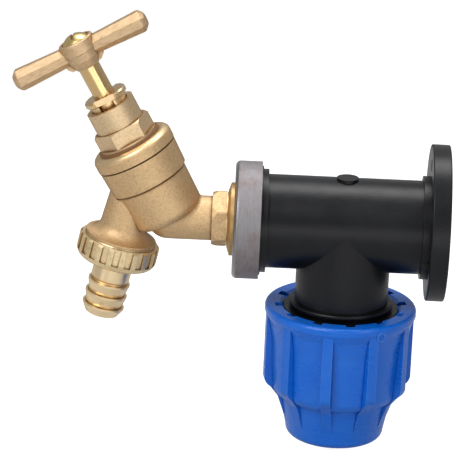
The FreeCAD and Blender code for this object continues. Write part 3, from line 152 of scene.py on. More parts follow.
class Graph:
    """A tree of shader nodes."""

    def __init__(self, tree: bpy.types.ShaderNodeTree) -> None:
        """Starts an empty tree.

        Args:
            tree: The tree, whose nodes are taken out first.
        """
        self.tree = tree
        self.tree.nodes.clear()

    def end(self, kind: str, shader: "Value") -> None:
        """Links a shader to the tree's output, which is a node of the given kind."""
        output = self.tree.nodes.new(kind)
        self.tree.links.new(shader.socket, output.inputs["Surface"])

    def node(
        self,
        kind: str,
        settings: dict[str, object],
        sockets: dict[int | str, object],
        output: int | str = 0,
    ) -> Value:
        """Adds any node.

        Args:
            kind: The node's type.
            settings: Its properties, which are set first.
            sockets: Numbers, colours or links for its inputs, by place or name.
            output: The output that is used.

        Returns:
            What the node gives.
        """
        made = self.tree.nodes.new(kind)
        for name, setting in settings.items():
            setattr(made, name, setting)
        for key, given in sockets.items():
            self.feed(made.inputs[key], given)
        return Value(self, made.outputs[output])

    def maths(self, operation: str, first: Value | float, second: Value | float = 0.0) -> Value:
        """Adds one Math node.

        Args:
            operation: The node's operation.
            first: Its first number.
            second: Its second number.

        Returns:
            What the node gives.
        """
        return self.node("ShaderNodeMath", {"operation": operation}, {0: first, 1: second})

    def feed(self, socket: bpy.types.NodeSocket, given: object) -> None:
        """Links a value to a socket, or sets the socket to a constant.

        Args:
            socket: The input that is fed.
            given: A value, or a constant of the socket's kind.
        """
        if isinstance(given, Value):
            self.tree.links.new(given.socket, socket)
        elif socket.type == "RGBA":
            socket.default_value = (*given, 1.0)
        else:
            socket.default_value = given

    def place(self, axis: Axis = Axis.BRANCH, stretch: Triple = (1.0, 1.0, 1.0)) -> Value:
        """Gives the point on the surface, counted from an axis.

        Args:
            axis: The axis that becomes local Z.
            stretch: Lengths of a unit along local X, Y and Z.

        Returns:
            The point as a vector.
        """
        point = self.node("ShaderNodeTexCoord", {}, {}, "Object")
        turn = (0.0, axis.lean, 0.0)
        sockets = {"Vector": point, "Location": axis.origin, "Rotation": turn, "Scale": stretch}
        return self.node("ShaderNodeMapping", {"vector_type": "TEXTURE"}, sockets)

    def parts(self, point: Value) -> tuple[Value, Value, Value]:
        """Splits a vector into its three numbers.

        Args:
            point: The vector.

        Returns:
            Its parts along X, Y and Z.
        """
        first = self.node("ShaderNodeSeparateXYZ", {}, {0: point})
        outputs = first.socket.node.outputs
        return first, Value(self, outputs[1]), Value(self, outputs[2])

    def join(self, across: Value | float, along: Value | float, up: Value | float) -> Value:
        """Makes a vector of three numbers."""
        return self.node("ShaderNodeCombineXYZ", {}, {0: across, 1: along, 2: up})

    def noise(self, point: Value, feature: float, detail: float = 3.0, roughness: float = 0.5) -> Value:
        """Gives a cloudy pattern.

        Args:
            point: The point on the surface.
            feature: The size of its largest features.
            detail: How many finer layers it has.
            roughness: How strong the finer layers are.

        Returns:
            A number round a half.
        """
        sockets = {"Vector": point, "Scale": 1 / feature, "Detail": detail, "Roughness": roughness}
        return self.node("ShaderNodeTexNoise", {}, sockets)

    def mix(self, low: Value | Colour, high: Value | Colour, share: Value | float) -> Value:
        """Mixes two colours by a share from 0 to 1."""
        return self.node("ShaderNodeMix", {"data_type": "RGBA"}, {0: share, 6: low, 7: high}, 2)

    def hollow(self, reach: float, inside: bool = False) -> Value:
        """Gives how far the surface is shut in by its own piece, which the materials use to paint shade into
        hollows and to pick out edges.

        Args:
            reach: How far off a neighbouring wall counts.
            inside: Whether outer corners are found instead of inner ones.

        Returns:
            A number from 0 in the open to 1 in a deep corner.
        """
        settings = {"samples": 8, "inside": inside, "only_local": True}
        return 1.0 - self.node("ShaderNodeAmbientOcclusion", settings, {"Distance": reach}, "AO")

    def rim(self) -> Value:
        """Gives 0 where the surface faces the viewer and 1 where it turns away."""
        return self.node("ShaderNodeLayerWeight", {}, {"Blend": 0.5}, "Facing").step(0.55, 1.0)

    def bump(self, height: Value, depth: float, under: Value | None = None) -> Value:
        """Gives the normal of a surface with fine relief.

        Args:
            height: The relief, from 0 to 1.
            depth: The height of a relief of 1.
            under: A normal that carries coarser relief.

        Returns:
            The normal.
        """
        sockets = {"Height": height, "Distance": depth}
        if under is not None:
            sockets["Normal"] = under
        return self.node("ShaderNodeBump", {}, sockets)


class Surface(Graph):
    """The nodes of one material, ending in a principled shader."""

    def __init__(self, name: str) -> None:
        """Makes the material and its shader.

        Args:
            name: The material's name.
        """
        self.material = bpy.data.materials.new(name)
        self.material.use_nodes = True
        super().__init__(self.material.node_tree)
        shader = self.node("ShaderNodeBsdfPrincipled", {}, {})
        self.inputs = shader.socket.node.inputs
        self.end("ShaderNodeOutputMaterial", shader)

    def shade(self, **given: object) -> None:
        """Feeds the principled shader, each input by its name with _ for a space."""
        for name, value in given.items():
            self.feed(self.inputs[name.replace("_", " ").title().replace("Ior", "IOR")], value)


@dataclass(frozen=True)
class Ramp:
    """A smooth rise between two levels of a pattern, and how much it counts for at its top."""

    start: float
    end: float
    share: float = 1.0

    def of(self, pattern: Value) -> Value:
        """Gives 0 where the pattern is at the start and the share where it is at the end."""
        return pattern.step(self.start, self.end) * self.share


@dataclass(frozen=True)
class MouldedPlastic:
    """Polypropylene: cloudy gloss, faint grain, a mould line and pale painted highlights on its corners."""

    name: str
    colour: Colour
    # pale: the colour of the painted corner highlights and of the paler scuffs and clouds.
    pale: Colour
    # deep: the colour of the painted shade in hollows.
    deep: Colour
    gloss: float
    shine: float = 0.3
    mould_line: bool = False
    line_width: float = 0.25 * MM
    line_depth: float = 0.12 * MM
    cloud_size: float = 14 * MM
    cloud_depth: float = 0.16 * MM
    grain_size: float = 0.5 * MM
    grain_depth: float = 0.012 * MM
    scuff_size: float = 5 * MM
    scuff_depth: float = 0.05 * MM
    scuff_stretch: Triple = (1.0, 1.0, 0.22)
    corner_reach: float = 0.8 * MM
    corner_ramp: Ramp = Ramp(0.28, 0.68)
    corner_dulling: float = 0.06
    edge_highlight_ramp: Ramp = Ramp(0.35, 0.65)
    edge_highlight_least: float = 0.4
    edge_highlight_share: float = 0.5
    scuff_ramp: Ramp = Ramp(0.62, 0.74, 0.08)
    scuff_dulling: Ramp = Ramp(0.5, 0.8, 0.12)
    cloud_ramp: Ramp = Ramp(0.3, 0.8, 0.09)
    cloud_level: float = 0.2
    cloud_dulling: float = 0.20
    deep_reach: float = 1.1 * MM
    deep_ramp: Ramp = Ramp(0.10, 0.55, 0.85)

    def material(self) -> bpy.types.Material:
        """Makes the material.

        Returns:
            The material, with its nodes.
        """
        graph = Surface(self.name)
        point = graph.place()
        drawn_out = graph.place(stretch=self.scuff_stretch)
        cloud = graph.noise(point, self.cloud_size, detail=4.0)
        grain = graph.noise(point, self.grain_size, detail=2.0)
        scuff = graph.noise(drawn_out, self.scuff_size, detail=6.0, roughness=0.7)
        corners = self.corner_ramp.of(graph.hollow(self.corner_reach, inside=True))
        # Painted highlight: the corners are lightened towards the pale colour, more where the scuffs are.
        edge_highlight = corners * (self.edge_highlight_least + self.edge_highlight_ramp.of(scuff)) * self.edge_highlight_share
        lighter = edge_highlight + self.scuff_ramp.of(scuff) + self.cloud_ramp.of(cloud)
        colour = graph.mix(self.colour, self.pale, lighter)
        # Painted shade: the hollows of the piece darken towards the deep colour.
        colour = graph.mix(colour, self.deep, self.deep_ramp.of(graph.hollow(self.deep_reach)))
        normal = graph.bump(cloud, self.cloud_depth)
        normal = graph.bump(scuff, self.scuff_depth, normal)
        normal = graph.bump(grain, self.grain_depth, normal)
        if self.mould_line:
            line = graph.parts(point)[1].size().step(self.line_width, 0.0)
            normal = graph.bump(line, self.line_depth, normal)
        rough = self.gloss + (cloud - self.cloud_level) * self.cloud_dulling
        rough = rough + self.scuff_dulling.of(scuff) + corners * self.corner_dulling
        graph.shade(base_color=colour, roughness=rough, normal=normal, specular_ior_level=self.shine)
        return graph.material


@dataclass(frozen=True)
class Stretch:
    """A stretch between two levels of an axis."""

    axis: Axis
    low: float
    high: float


@dataclass(frozen=True)
class Ledge:
    """A step down in a casting: the level of its foot, and how far its painted shadow spreads down and out."""

    axis: Axis
    level: float
    spread: float
    reach: float


@dataclass(frozen=True)
class CastBrass:
    """Cast and tumbled brass: grainy and matt, browner in its corners from painted shade and oxide, with
    machined stretches.
    """

    name: str
    colour: Colour
    # crease: the brown of oxide and pits, and of the painted shade in creases, under ledges and at the
    # silhouette.
    crease: Colour
    shine: Colour
    roughness: float
    grain_depth: float = 0.055 * MM
    grain_size: float = 0.8 * MM
    speckle: float = 0.26
    pit_ramp: Ramp = Ramp(0.54, 0.34)
    grain_ramp: Ramp = Ramp(0.52, 0.70)
    rim_shade: float = 0.65
    cloud_size: float = 9 * MM
    cloud_ramp: Ramp = Ramp(0.56, 0.80, 0.22)
    cloud_dulling: float = 0.10
    blotch_size: float = 2.6 * MM
    blotch_depth: float = 0.10 * MM
    patch_ramp: Ramp = Ramp(0.62, 0.76, 0.25)
    crease_reach: float = 3.2 * MM
    crease_ramp: Ramp = Ramp(0.08, 0.56)
    crease_least: float = 0.55
    crease_clouding: float = 0.7
    crease_dulling: float = 0.12
    edge_reach: float = 0.8 * MM
    edge_ramp: Ramp = Ramp(0.40, 0.80)
    edge_wear: Ramp = Ramp(0.3, 0.6, 0.6)
    edge_gloss: float = 0.08
    ledge_depth: float = 0.25 * MM
    ledge_fade: float = 0.3 * MM
    machined_fade: float = 0.1 * MM
    machined_shine: float = 0.7
    machined_gloss: float = 0.16
    line_width: float = 0.28 * MM
    line_core: float = 0.05 * MM
    line_depth: float = 0.10 * MM
    brushed_along: Triple = (1.0, 1.0, 1.0)
    machined: tuple[Stretch, ...] = ()
    ledges: tuple[Ledge, ...] = ()
    parting_axis: Axis | None = None

    def machined_share(self, graph: Graph) -> Value | float:
        """Gives 1 on the stretches that are machined, and 0 elsewhere.

        Args:
            graph: The material's nodes.

        Returns:
            A number from 0 to 1.
        """
        share: Value | float = 0.0
        fade = self.machined_fade
        for part in self.machined:
            along = graph.parts(graph.place(part.axis))[2]
            above = along.step(part.low - fade, part.low + fade)
            share = share + above * along.step(part.high + fade, part.high - fade)
        return share

    def ledge_share(self, graph: Graph) -> Value | float:
        """Gives 1 at the foot of each ledge, and less further down from it and beyond its radius, where the
        painted shadow under the ledge falls.

        Args:
            graph: The material's nodes.

        Returns:
            A number from 0 to 1.
        """
        share: Value | float = 0.0
        fade = self.ledge_fade
        for ledge in self.ledges:
            across, away, along = graph.parts(graph.place(ledge.axis))
            inside = ((across * across + away * away) ** 0.5).step(ledge.reach + fade, ledge.reach)
            below = along.step(ledge.level + fade, ledge.level)
            share = share + along.step(ledge.level - ledge.spread, ledge.level) * below * inside
        return share

    def material(self) -> bpy.types.Material:
        """Makes the material.

        Returns:
            The material, with its nodes.
        """
        graph = Surface(self.name)
        point = graph.place()
        brushed = graph.place(self.parting_axis or Axis.BRANCH, self.brushed_along)
        cloud = graph.noise(point, self.cloud_size, detail=5.0, roughness=0.6)
        blotch = graph.noise(point, self.blotch_size, detail=3.0)
        grain = graph.noise(brushed, self.grain_size, detail=4.0, roughness=0.7)
        creases = self.crease_ramp.of(graph.hollow(self.crease_reach))
        edges = self.edge_ramp.of(graph.hollow(self.edge_reach, inside=True))
        machined = self.machined_share(graph)
        ledge = self.ledge_share(graph)
        rough_share = 1.0 - machined
        speckled = rough_share * self.speckle
        # Painted shade with oxide in the creases and a painted shadow under each ledge, plus cloudy tone, all
        # browning towards the crease colour.
        stain_and_shade = (creases + ledge) * (self.crease_least + cloud * self.crease_clouding)
        stain_and_shade = stain_and_shade + self.cloud_ramp.of(cloud) * rough_share
        polished = edges * self.edge_wear.of(blotch) + machined * self.machined_shine
        polished = polished + self.patch_ramp.of(blotch)
        colour = graph.mix(self.colour, self.crease, stain_and_shade.step(0.0, 1.0))
        colour = graph.mix(colour, self.crease, self.pit_ramp.of(grain) * speckled)
        colour = graph.mix(colour, self.shine, self.grain_ramp.of(grain) * speckled)
        colour = graph.mix(colour, self.shine, polished.step(0.0, 1.0))
        colour = graph.mix(colour, self.crease, graph.rim() * self.rim_shade)
        normal = graph.bump(blotch * rough_share, self.blotch_depth)
        normal = graph.bump(grain * rough_share, self.grain_depth, normal)
        if self.ledges:
            normal = graph.bump(1.0 - ledge, self.ledge_depth, normal)
        if self.parting_axis is not None:
            aside = graph.parts(graph.place(self.parting_axis))[1].size()
            line = aside.step(self.line_width, self.line_core)
            normal = graph.bump(line * rough_share, self.line_depth, normal)
        rough = self.roughness + cloud * self.cloud_dulling + creases * self.crease_dulling
        rough = rough - edges * self.edge_gloss - machined * self.machined_gloss
        graph.shade(base_color=colour, metallic=1.0, roughness=rough, normal=normal)
        return graph.material


@dataclass(frozen=True)
class TurnedMetal:
    """Metal turned on a lathe: fine rings round its axis, a little oxide and painted shade in its corners."""

    name: str
    colour: Colour
    tarnish_and_shade: Colour
    roughness: float
    axis: Axis
    ring_depth: float = 0.010 * MM
    ring_pitch: float = 0.18 * MM
    bands_to_ring: float = 9.0
    band_depth_to_ring: float = 2.0
    band_dulling: float = 0.06
    tarnish_share: float = 0.5
    smudge_size: float = 6 * MM
    smudge_ramp: Ramp = Ramp(0.52, 0.76)
    smudge_dulling: Ramp = Ramp(0.4, 0.8, 0.10)
    corner_reach: float = 1.2 * MM
    corner_ramp: Ramp = Ramp(0.15, 0.75)
    corner_shade_and_tarnish: float = 0.8
    corner_dulling: float = 0.14
    rim_shade: float = 0.6

    def material(self) -> bpy.types.Material:
        """Makes the material.

        Returns:
            The material, with its nodes.
        """
        graph = Surface(self.name)
        across, along, up = graph.parts(graph.place(self.axis))
        radius = (across * across + along * along) ** 0.5
        round_axis = graph.join(radius, 0.0, up)
        rings = graph.noise(round_axis, self.ring_pitch, detail=2.0)
        bands = graph.noise(round_axis, self.ring_pitch * self.bands_to_ring, detail=3.0)
        smudge = graph.noise(graph.place(), self.smudge_size, detail=5.0, roughness=0.6)
        corners = self.corner_ramp.of(graph.hollow(self.corner_reach))
        # Painted shade with oxide in the corners, and oxide in smudges.
        stain_and_shade = corners * self.corner_shade_and_tarnish + self.smudge_ramp.of(smudge) * self.tarnish_share
        colour = graph.mix(self.colour, self.tarnish_and_shade, stain_and_shade.step(0.0, 1.0))
        colour = graph.mix(colour, self.tarnish_and_shade, graph.rim() * self.rim_shade)
        normal = graph.bump(bands, self.ring_depth * self.band_depth_to_ring)
        normal = graph.bump(rings, self.ring_depth, normal)
        rough = self.roughness + self.smudge_dulling.of(smudge)
        rough = rough + bands * self.band_dulling + corners * self.corner_dulling
        graph.shade(base_color=colour, metallic=1.0, roughness=rough, normal=normal)
        return graph.material


@dataclass(frozen=True)
class PressedSteel:
    """Pressed steel: brushed matt round the ring, burnished on its rounded front edge."""

    name: str
    colour: Colour
    rust: Colour
    roughness: float
    edge_roughness: float
    edge_start: float
    edge_width: float = 0.5 * MM
    scratch_size: float = 0.5 * MM
    scratch_depth: float = 0.010 * MM
    scratch_run: float = 0.12
    scratch_ramp: Ramp = Ramp(0.52, 0.36, 0.35)
    cloud_size: float = 14 * MM
    cloud_ramp: Ramp = Ramp(0.40, 0.70, 0.55)
    cloud_dulling: float = 0.10

    def material(self) -> bpy.types.Material:
        """Makes the material.

        Returns:
            The material, with its nodes.
        """
        graph = Surface(self.name)
        across, along, up = graph.parts(graph.place(Axis.LEVEL))
        burnished = up.step(self.edge_start, self.edge_start - self.edge_width)
        drawn_out = graph.join(across * self.scratch_run, along * self.scratch_run, up)
        scratches = graph.noise(drawn_out, self.scratch_size, detail=3.0, roughness=0.7)
        cloud = graph.noise(graph.place(), self.cloud_size, detail=5.0, roughness=0.6)
        matt = 1.0 - burnished
        colour = graph.mix(self.colour, self.rust, self.cloud_ramp.of(cloud) * matt)
        colour = graph.mix(colour, self.rust, self.scratch_ramp.of(scratches))
        normal = graph.bump(scratches * matt, self.scratch_depth)
        rough = self.roughness + cloud * self.cloud_dulling
        rough = rough - burnished * (self.roughness - self.edge_roughness)
        graph.shade(base_color=colour, metallic=1.0, roughness=rough, normal=normal)
        return graph.material


@dataclass(frozen=True)
class SoftRing:
    """Rubber, fibre or packing: matt, speckled and slightly uneven."""

    name: str
    colour: Colour
    speck: Colour
    roughness: float
    fibre: float = 0.4 * MM
    fibre_depth: float = 0.03 * MM
    fibre_ramp: Ramp = Ramp(0.5, 0.75, 0.6)
    cloud_size: float = 4 * MM
    cloud_ramp: Ramp = Ramp(0.4, 0.8, 0.3)
    cloud_dulling: float = 0.12

    def material(self) -> bpy.types.Material:
        """Makes the material.

        Returns:
            The material, with its nodes.
        """
        graph = Surface(self.name)
        point = graph.place()
        cloud = graph.noise(point, self.cloud_size, detail=4.0)
        specks = graph.noise(point, self.fibre, detail=3.0, roughness=0.7)
        speckled = self.fibre_ramp.of(specks) + self.cloud_ramp.of(cloud)
        colour = graph.mix(self.colour, self.speck, speckled)
        normal = graph.bump(specks, self.fibre_depth)
        rough = self.roughness + cloud * self.cloud_dulling
        graph.shade(base_color=colour, roughness=rough, normal=normal)
        return graph.material


MACHINED_STRETCHES = (
    Stretch(Axis.LEVEL, -85.9 * MM, 0.0),
    Stretch(Axis.SPOUT, 0.0, 32.4 * MM),
    Stretch(Axis.VALVE, 0.0, 20.0 * MM),
)
# The band's ledges, with a painted shadow under each.
BAND_LEDGES = (
    Ledge(Axis.VALVE, -15.4 * MM, spread=1.5 * MM, reach=15.6 * MM),
    Ledge(Axis.VALVE, -4.3 * MM, spread=1.0 * MM, reach=16.4 * MM),
)


class Stock(Enum):
    """Every finish on the object."""

    BLACK_PLASTIC = MouldedPlastic(
        "elbow_plastic",
        colour=from_display(9, 10, 14),
        pale=from_display(54, 57, 64),
        deep=from_display(4, 4, 6),
        gloss=0.29,
        shine=0.30,
        mould_line=True,
    )
    BLUE_PLASTIC = MouldedPlastic(
        "nut_plastic",
        colour=from_display(0, 97, 203),
        pale=from_display(100, 162, 238),
        deep=from_display(0, 58, 140),
        gloss=0.22,
        shine=0.42,
    )
    PALE_PLASTIC = MouldedPlastic(
        "grip_plastic",
        colour=from_display(214, 210, 200),
        pale=from_display(236, 234, 228),
        deep=from_display(160, 154, 142),
        gloss=0.36,
    )
    BODY_BRASS = CastBrass(
        "body_brass",
        colour=from_display(219, 188, 145),
        crease=from_display(122, 88, 48),
        shine=from_display(236, 210, 164),
        roughness=0.54,
        machined=MACHINED_STRETCHES,
        ledges=BAND_LEDGES,
    )
    HANDLE_BRASS = CastBrass(
        "handle_brass",
        colour=from_display(218, 189, 151),
        crease=from_display(134, 99, 60),
        shine=from_display(230, 204, 166),
        roughness=0.50,
        grain_depth=0.026 * MM,
        parting_axis=Axis.VALVE,
        brushed_along=(4.0, 1.0, 1.0),
    )
    BONNET_BRASS = CastBrass(
        "bonnet_brass",
        colour=from_display(226, 199, 160),
        crease=from_display(150, 114, 70),
        shine=from_display(242, 216, 174),
        roughness=0.44,
    )
    STEM_BRASS = TurnedMetal(
        "stem_brass",
        colour=from_display(223, 190, 136),
        tarnish_and_shade=from_display(160, 116, 66),
        roughness=0.15,
        axis=Axis.VALVE,
        ring_depth=0.005 * MM,
        tarnish_share=0.2,
    )
    GLAND_BRASS = TurnedMetal(
        "gland_brass",
        colour=from_display(236, 206, 160),
        tarnish_and_shade=from_display(150, 114, 70),
        roughness=0.22,
        axis=Axis.VALVE,
        ring_depth=0.005 * MM,
        tarnish_share=0.3,
    )
    # Paler than the body's brass as painted light, making up for the dim light low down where the union nut
    # and spout thread sit.
    UNION_BRASS = CastBrass(
        "union_brass",
        colour=from_display(243, 220, 174),
        crease=from_display(138, 104, 62),
        shine=from_display(252, 232, 190),
        roughness=0.38,
        grain_depth=0.02 * MM,
        crease_reach=1.4 * MM,
    )
    # Paler than the body's brass: partly its turned finish, partly painted light for its dim place low down.
    TAIL_BRASS = TurnedMetal(
        "tail_brass",
        colour=from_display(253, 227, 182),
        tarnish_and_shade=from_display(140, 106, 64),
        roughness=0.28,
        axis=Axis.SPOUT,
        ring_depth=0.014 * MM,
        tarnish_share=0.35,
    )
    INSERT_BRASS = TurnedMetal(
        "insert_brass",
        colour=from_display(196, 162, 110),
        tarnish_and_shade=from_display(140, 102, 58),
        roughness=0.40,
        axis=Axis.LEVEL,
    )
    SCREW_BRASS = TurnedMetal(
        "cap_brass",
        colour=from_display(226, 198, 134),
        tarnish_and_shade=from_display(160, 126, 74),
        roughness=0.24,
        axis=Axis.VALVE,
        tarnish_share=0.4,
    )
    PRESSED_STEEL = PressedSteel(
        "ring_steel",
        colour=from_display(150, 148, 151),
        rust=from_display(132, 110, 105),
        roughness=0.58,
        edge_roughness=0.16,
        edge_start=-81.4 * MM,
    )
    FIBRE = SoftRing(
        "washer_fibre",
        colour=from_display(124, 88, 54),
        speck=from_display(88, 60, 36),
        roughness=0.7,
    )
    RUBBER = SoftRing(
        "seal_rubber",
        colour=from_display(30, 30, 31),
        speck=from_display(52, 52, 52),
        roughness=0.55,
    )
    PACKING = SoftRing(
        "gland_wax",
        colour=from_display(206, 202, 190),
        speck=from_display(150, 148, 140),
        roughness=0.6,
        fibre=0.25 * MM,
    )

    def material(self) -> bpy.types.Material:
        """Gives the finish's material, made at its first use."""
        return bpy.data.materials.get(self.value.name) or self.value.material()


def dress(piece: bpy.types.Object, stock: Stock) -> None:
    """Gives a piece one finish all over.

    Args:
        piece: The piece, new or from the frame.
        stock: Its finish.
    """
    if not piece.data.materials:
        piece.data.materials.append(stock.material())
    for slot in piece.material_slots:
        slot.material = stock.material()
    LOG.info("%s is dressed in %s", piece.name, stock.name.lower())


def dress_nodes(stocks: tuple[tuple[str, Stock], ...]) -> None:
    """Gives nodes of the frame their finishes, from pairs of a node's name and its finish."""
    for name, stock in stocks:
        dress(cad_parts[name], stock)


@dataclass(frozen=True)
class Thread:
    """A screw thread that stands on a plain cylinder of the frame."""

    name: str
    axis: Axis
    body: str
    slot: str
    stock: Stock
    root_radius: float
    crest_radius: float
    pitch: float
    start: float
    turns: int
    steps: int = 96
    sink: float = 0.125
    narrowing: float = 0.1

    def build(self) -> bpy.types.Object:
        """Sweeps the thread's section along its helix and puts it on its axis.

        Returns:
            The finished piece.
        """
        bpy.ops.mesh.primitive_circle_add(
            vertices=4,
            radius=self.pitch / 2,
            location=(self.root_radius, 0.0, self.start),
            rotation=(math.pi / 2, 0.0, 0.0),
        )
        piece = bpy.context.object
        piece.name = self.name
        bpy.ops.object.transform_apply(location=True, rotation=True, scale=False)
        self.shape_section(piece)
        screw = piece.modifiers.new("helix", "SCREW")
        screw.angle = math.tau
        screw.screw_offset = self.pitch
        screw.iterations = self.turns
        screw.steps = screw.render_steps = self.steps
        bpy.ops.object.modifier_apply(modifier=screw.name)
        self.close_ends()
        piece.data.transform(self.axis.matrix())
        bpy.ops.object.shade_smooth_by_angle(angle=math.radians(35))
        bpy.ops.object.select_all(action="DESELECT")
        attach(piece, self.body)
        dress(piece, self.stock)
        return piece

    def shape_section(self, piece: bpy.types.Object) -> None:
        """Moves the section's four corners to the crest, below the root and closer to each other.

        Args:
            piece: The section, a square that stands on its corner.
        """
        reach = self.pitch / 2
        self.move_corner(piece, Vector((reach, 0.0, 0.0)), self.crest_radius - self.root_radius)
        self.move_corner(piece, Vector((-reach, 0.0, 0.0)), self.sink * self.pitch)
        self.move_corner(piece, Vector((0.0, 0.0, reach)), (1.0 - self.narrowing) * reach)
        self.move_corner(piece, Vector((0.0, 0.0, -reach)), (1.0 - self.narrowing) * reach)

    def move_corner(self, piece: bpy.types.Object, corner: Vector, reach: float) -> None:
        """Slides one corner of the section towards its centre, or away from it.

        Args:
            piece: The section.
            corner: Where the corner is, counted from the section's centre.
            reach: How far from the centre it comes to stand.
        """
        centre = Vector((self.root_radius, 0.0, self.start))
        bpy.ops.object.mode_set(mode="EDIT")
        bpy.ops.mesh.select_all(action="DESELECT")
        bpy.ops.object.mode_set(mode="OBJECT")
        for vertex in piece.data.vertices:
            vertex.select = (vertex.co - centre - corner).length < self.pitch / 8
        bpy.ops.object.mode_set(mode="EDIT")
        bpy.ops.transform.translate(value=corner * (reach / corner.length - 1.0))
        bpy.ops.object.mode_set(mode="OBJECT")

    def close_ends(self) -> None:
        """Fills both ends of the sweep and turns its faces outwards."""
        bpy.ops.object.mode_set(mode="EDIT")
        bpy.ops.mesh.select_all(action="SELECT")
        bpy.ops.mesh.remove_doubles(threshold=1e-7)
        bpy.ops.mesh.select_all(action="DESELECT")
        bpy.ops.mesh.select_non_manifold()
        bpy.ops.mesh.fill()
        bpy.ops.mesh.select_all(action="SELECT")
        bpy.ops.mesh.normals_make_consistent(inside=False)
        bpy.ops.object.mode_set(mode="OBJECT")


@dataclass
class Elbow:
    """Black elbow with its wall plate, steel ring and brass insert."""

    stocks: tuple[tuple[str, Stock], ...] = (
        ("fitting_body", Stock.BLACK_PLASTIC),
        ("reinforcing_ring", Stock.PRESSED_STEEL),
        ("threaded_insert", Stock.INSERT_BRASS),
    )
    male_radius: float = 22.4 * MM
    male_crest: float = 23.2 * MM
    male_pitch: float = 4.0 * MM
    male_start: float = -50.4 * MM
    male_turns: int = 3

    def build(self) -> None:
        """Dresses the nodes and adds the thread that takes the pipe nut."""
        dress_nodes(self.stocks)
        Thread(
            name="elbow_thread",
            axis=Axis.BRANCH,
            body="root",
            slot="black_plastic",
            stock=Stock.BLACK_PLASTIC,
            root_radius=self.male_radius,
            crest_radius=self.male_crest,
            pitch=self.male_pitch,
            start=self.male_start,
            turns=self.male_turns,
        ).build()


@dataclass
class Tap:
    """Cast body of the tap, with the thread on its spout."""

    spout_radius: float = 13.2 * MM
    spout_crest: float = 13.75 * MM
    spout_pitch: float = 1.814 * MM
    spout_start: float = 28.0 * MM
    spout_turns: int = 2

    def build(self) -> None:
        """Dresses the body and adds the spout's thread."""
        dress(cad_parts["tap_body"], Stock.BODY_BRASS)
        Thread(
            name="spout_thread",
            axis=Axis.SPOUT,
            body="root",
            slot="cast_brass",
            stock=Stock.UNION_BRASS,
            root_radius=self.spout_radius,
            crest_radius=self.spout_crest,
            pitch=self.spout_pitch,
            start=self.spout_start,
            turns=self.spout_turns,
        ).build()


@dataclass
class Headworks:
    """Bonnet, gland, spindle and jumper on the leaning axis."""

    stocks: tuple[tuple[str, Stock], ...] = (
        ("headworks_bonnet", Stock.BONNET_BRASS),
        ("bonnet_washer", Stock.FIBRE),
        ("gland_nut", Stock.GLAND_BRASS),
        ("gland_packing", Stock.PACKING),
        ("gland_follower", Stock.BONNET_BRASS),
        ("spindle", Stock.STEM_BRASS),
        ("jumper_valve", Stock.BONNET_BRASS),
        ("tap_washer", Stock.RUBBER),
        ("washer_nut", Stock.BONNET_BRASS),
        ("crutch_handle", Stock.HANDLE_BRASS),
        ("handle_screw", Stock.SCREW_BRASS),
    )

    def build(self) -> None:
        """Dresses the nodes."""
        dress_nodes(self.stocks)


@dataclass
class HoseUnion:
    """Union nut, its washer and the barbed tail."""

    stocks: tuple[tuple[str, Stock], ...] = (
        ("hose_union_nut", Stock.UNION_BRASS),
        ("hose_union_washer", Stock.RUBBER),
        ("hose_tail", Stock.TAIL_BRASS),
    )

    def build(self) -> None:
        """Dresses the nodes."""
        dress_nodes(self.stocks)


@dataclass
class GateMark:
    """Small round mark that the mould leaves below the pipe nut's rim: a disc, a groove and a dot."""

    name: str = "pipe_nut_mark"
    bearing: float = -58.3
    level: float = -37.0 * MM
    face: float = 29.9 * MM
    radius: float = 1.9 * MM
    depth: float = 2.6 * MM
    lip: float = 0.35 * MM
    groove: float = 0.3 * MM
    groove_width: float = 0.55 * MM
    slope: float = 0.15 * MM
    corners: int = 40

    def place(self) -> Matrix:
        """Works out where the disc goes, set into the nut's side and facing outwards.

        Returns:
            The place and turn of a disc that was made about Z at the origin.
        """
        turn = Matrix.Rotation(math.radians(self.bearing), 4, "Z")
        turn = turn @ Matrix.Rotation(math.radians(90.0), 4, "Y")
        out = turn @ Vector((0.0, 0.0, self.face - self.depth / 2))
        return Matrix.Translation(Axis.BRANCH.origin + Vector((0.0, 0.0, self.level)) + out) @ turn

    def build(self) -> bpy.types.Object:
        """Makes the disc and sets it into the nut.

        Returns:
            The finished piece.
        """
        bpy.ops.mesh.primitive_cylinder_add(vertices=self.corners, radius=self.radius, depth=self.depth)
        piece = bpy.context.object
        piece.name = self.name
        self.cut_groove(piece)
        piece.data.transform(self.place())
        bpy.ops.object.shade_smooth_by_angle(angle=math.radians(35))
        bpy.ops.object.select_all(action="DESELECT")
        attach(piece, "pipe_nut")
        dress(piece, Stock.BLUE_PLASTIC)
        return piece

    def cut_groove(self, piece: bpy.types.Object) -> None:
        """Insets the disc's face step by step: a lip, the groove with its sloping walls, and the dot.

        Args:
            piece: The plain disc.
        """
        settings = bpy.context.tool_settings
        settings.mesh_select_mode = (False, False, True)
        for face in piece.data.polygons:
            face.select = face.normal.z > 0.9
        bpy.ops.object.mode_set(mode="EDIT")
        for thickness, depth in (
            (self.slope, 0.0),
            (self.lip, 0.0),
            (self.slope, -self.groove),
            (self.groove_width, 0.0),
            (self.slope, self.groove),
        ):
            bpy.ops.mesh.inset(thickness=thickness, depth=depth)
        bpy.ops.mesh.select_all(action="SELECT")
        bpy.ops.mesh.normals_make_consistent(inside=False)
        bpy.ops.object.mode_set(mode="OBJECT")
        settings.mesh_select_mode = (True, False, False)


@dataclass
class PipeNut:
    """Blue nut with the bush, grip ring and seal that it holds."""

    stocks: tuple[tuple[str, Stock], ...] = (
        ("compression_nut", Stock.BLUE_PLASTIC),
        ("pressing_bush", Stock.BLACK_PLASTIC),
        ("grip_ring", Stock.PALE_PLASTIC),
        ("pipe_seal", Stock.RUBBER),
    )

    def build(self) -> None:
        """Dresses the nodes and adds the mould's mark to the nut."""
        dress_nodes(self.stocks)
        GateMark().build()


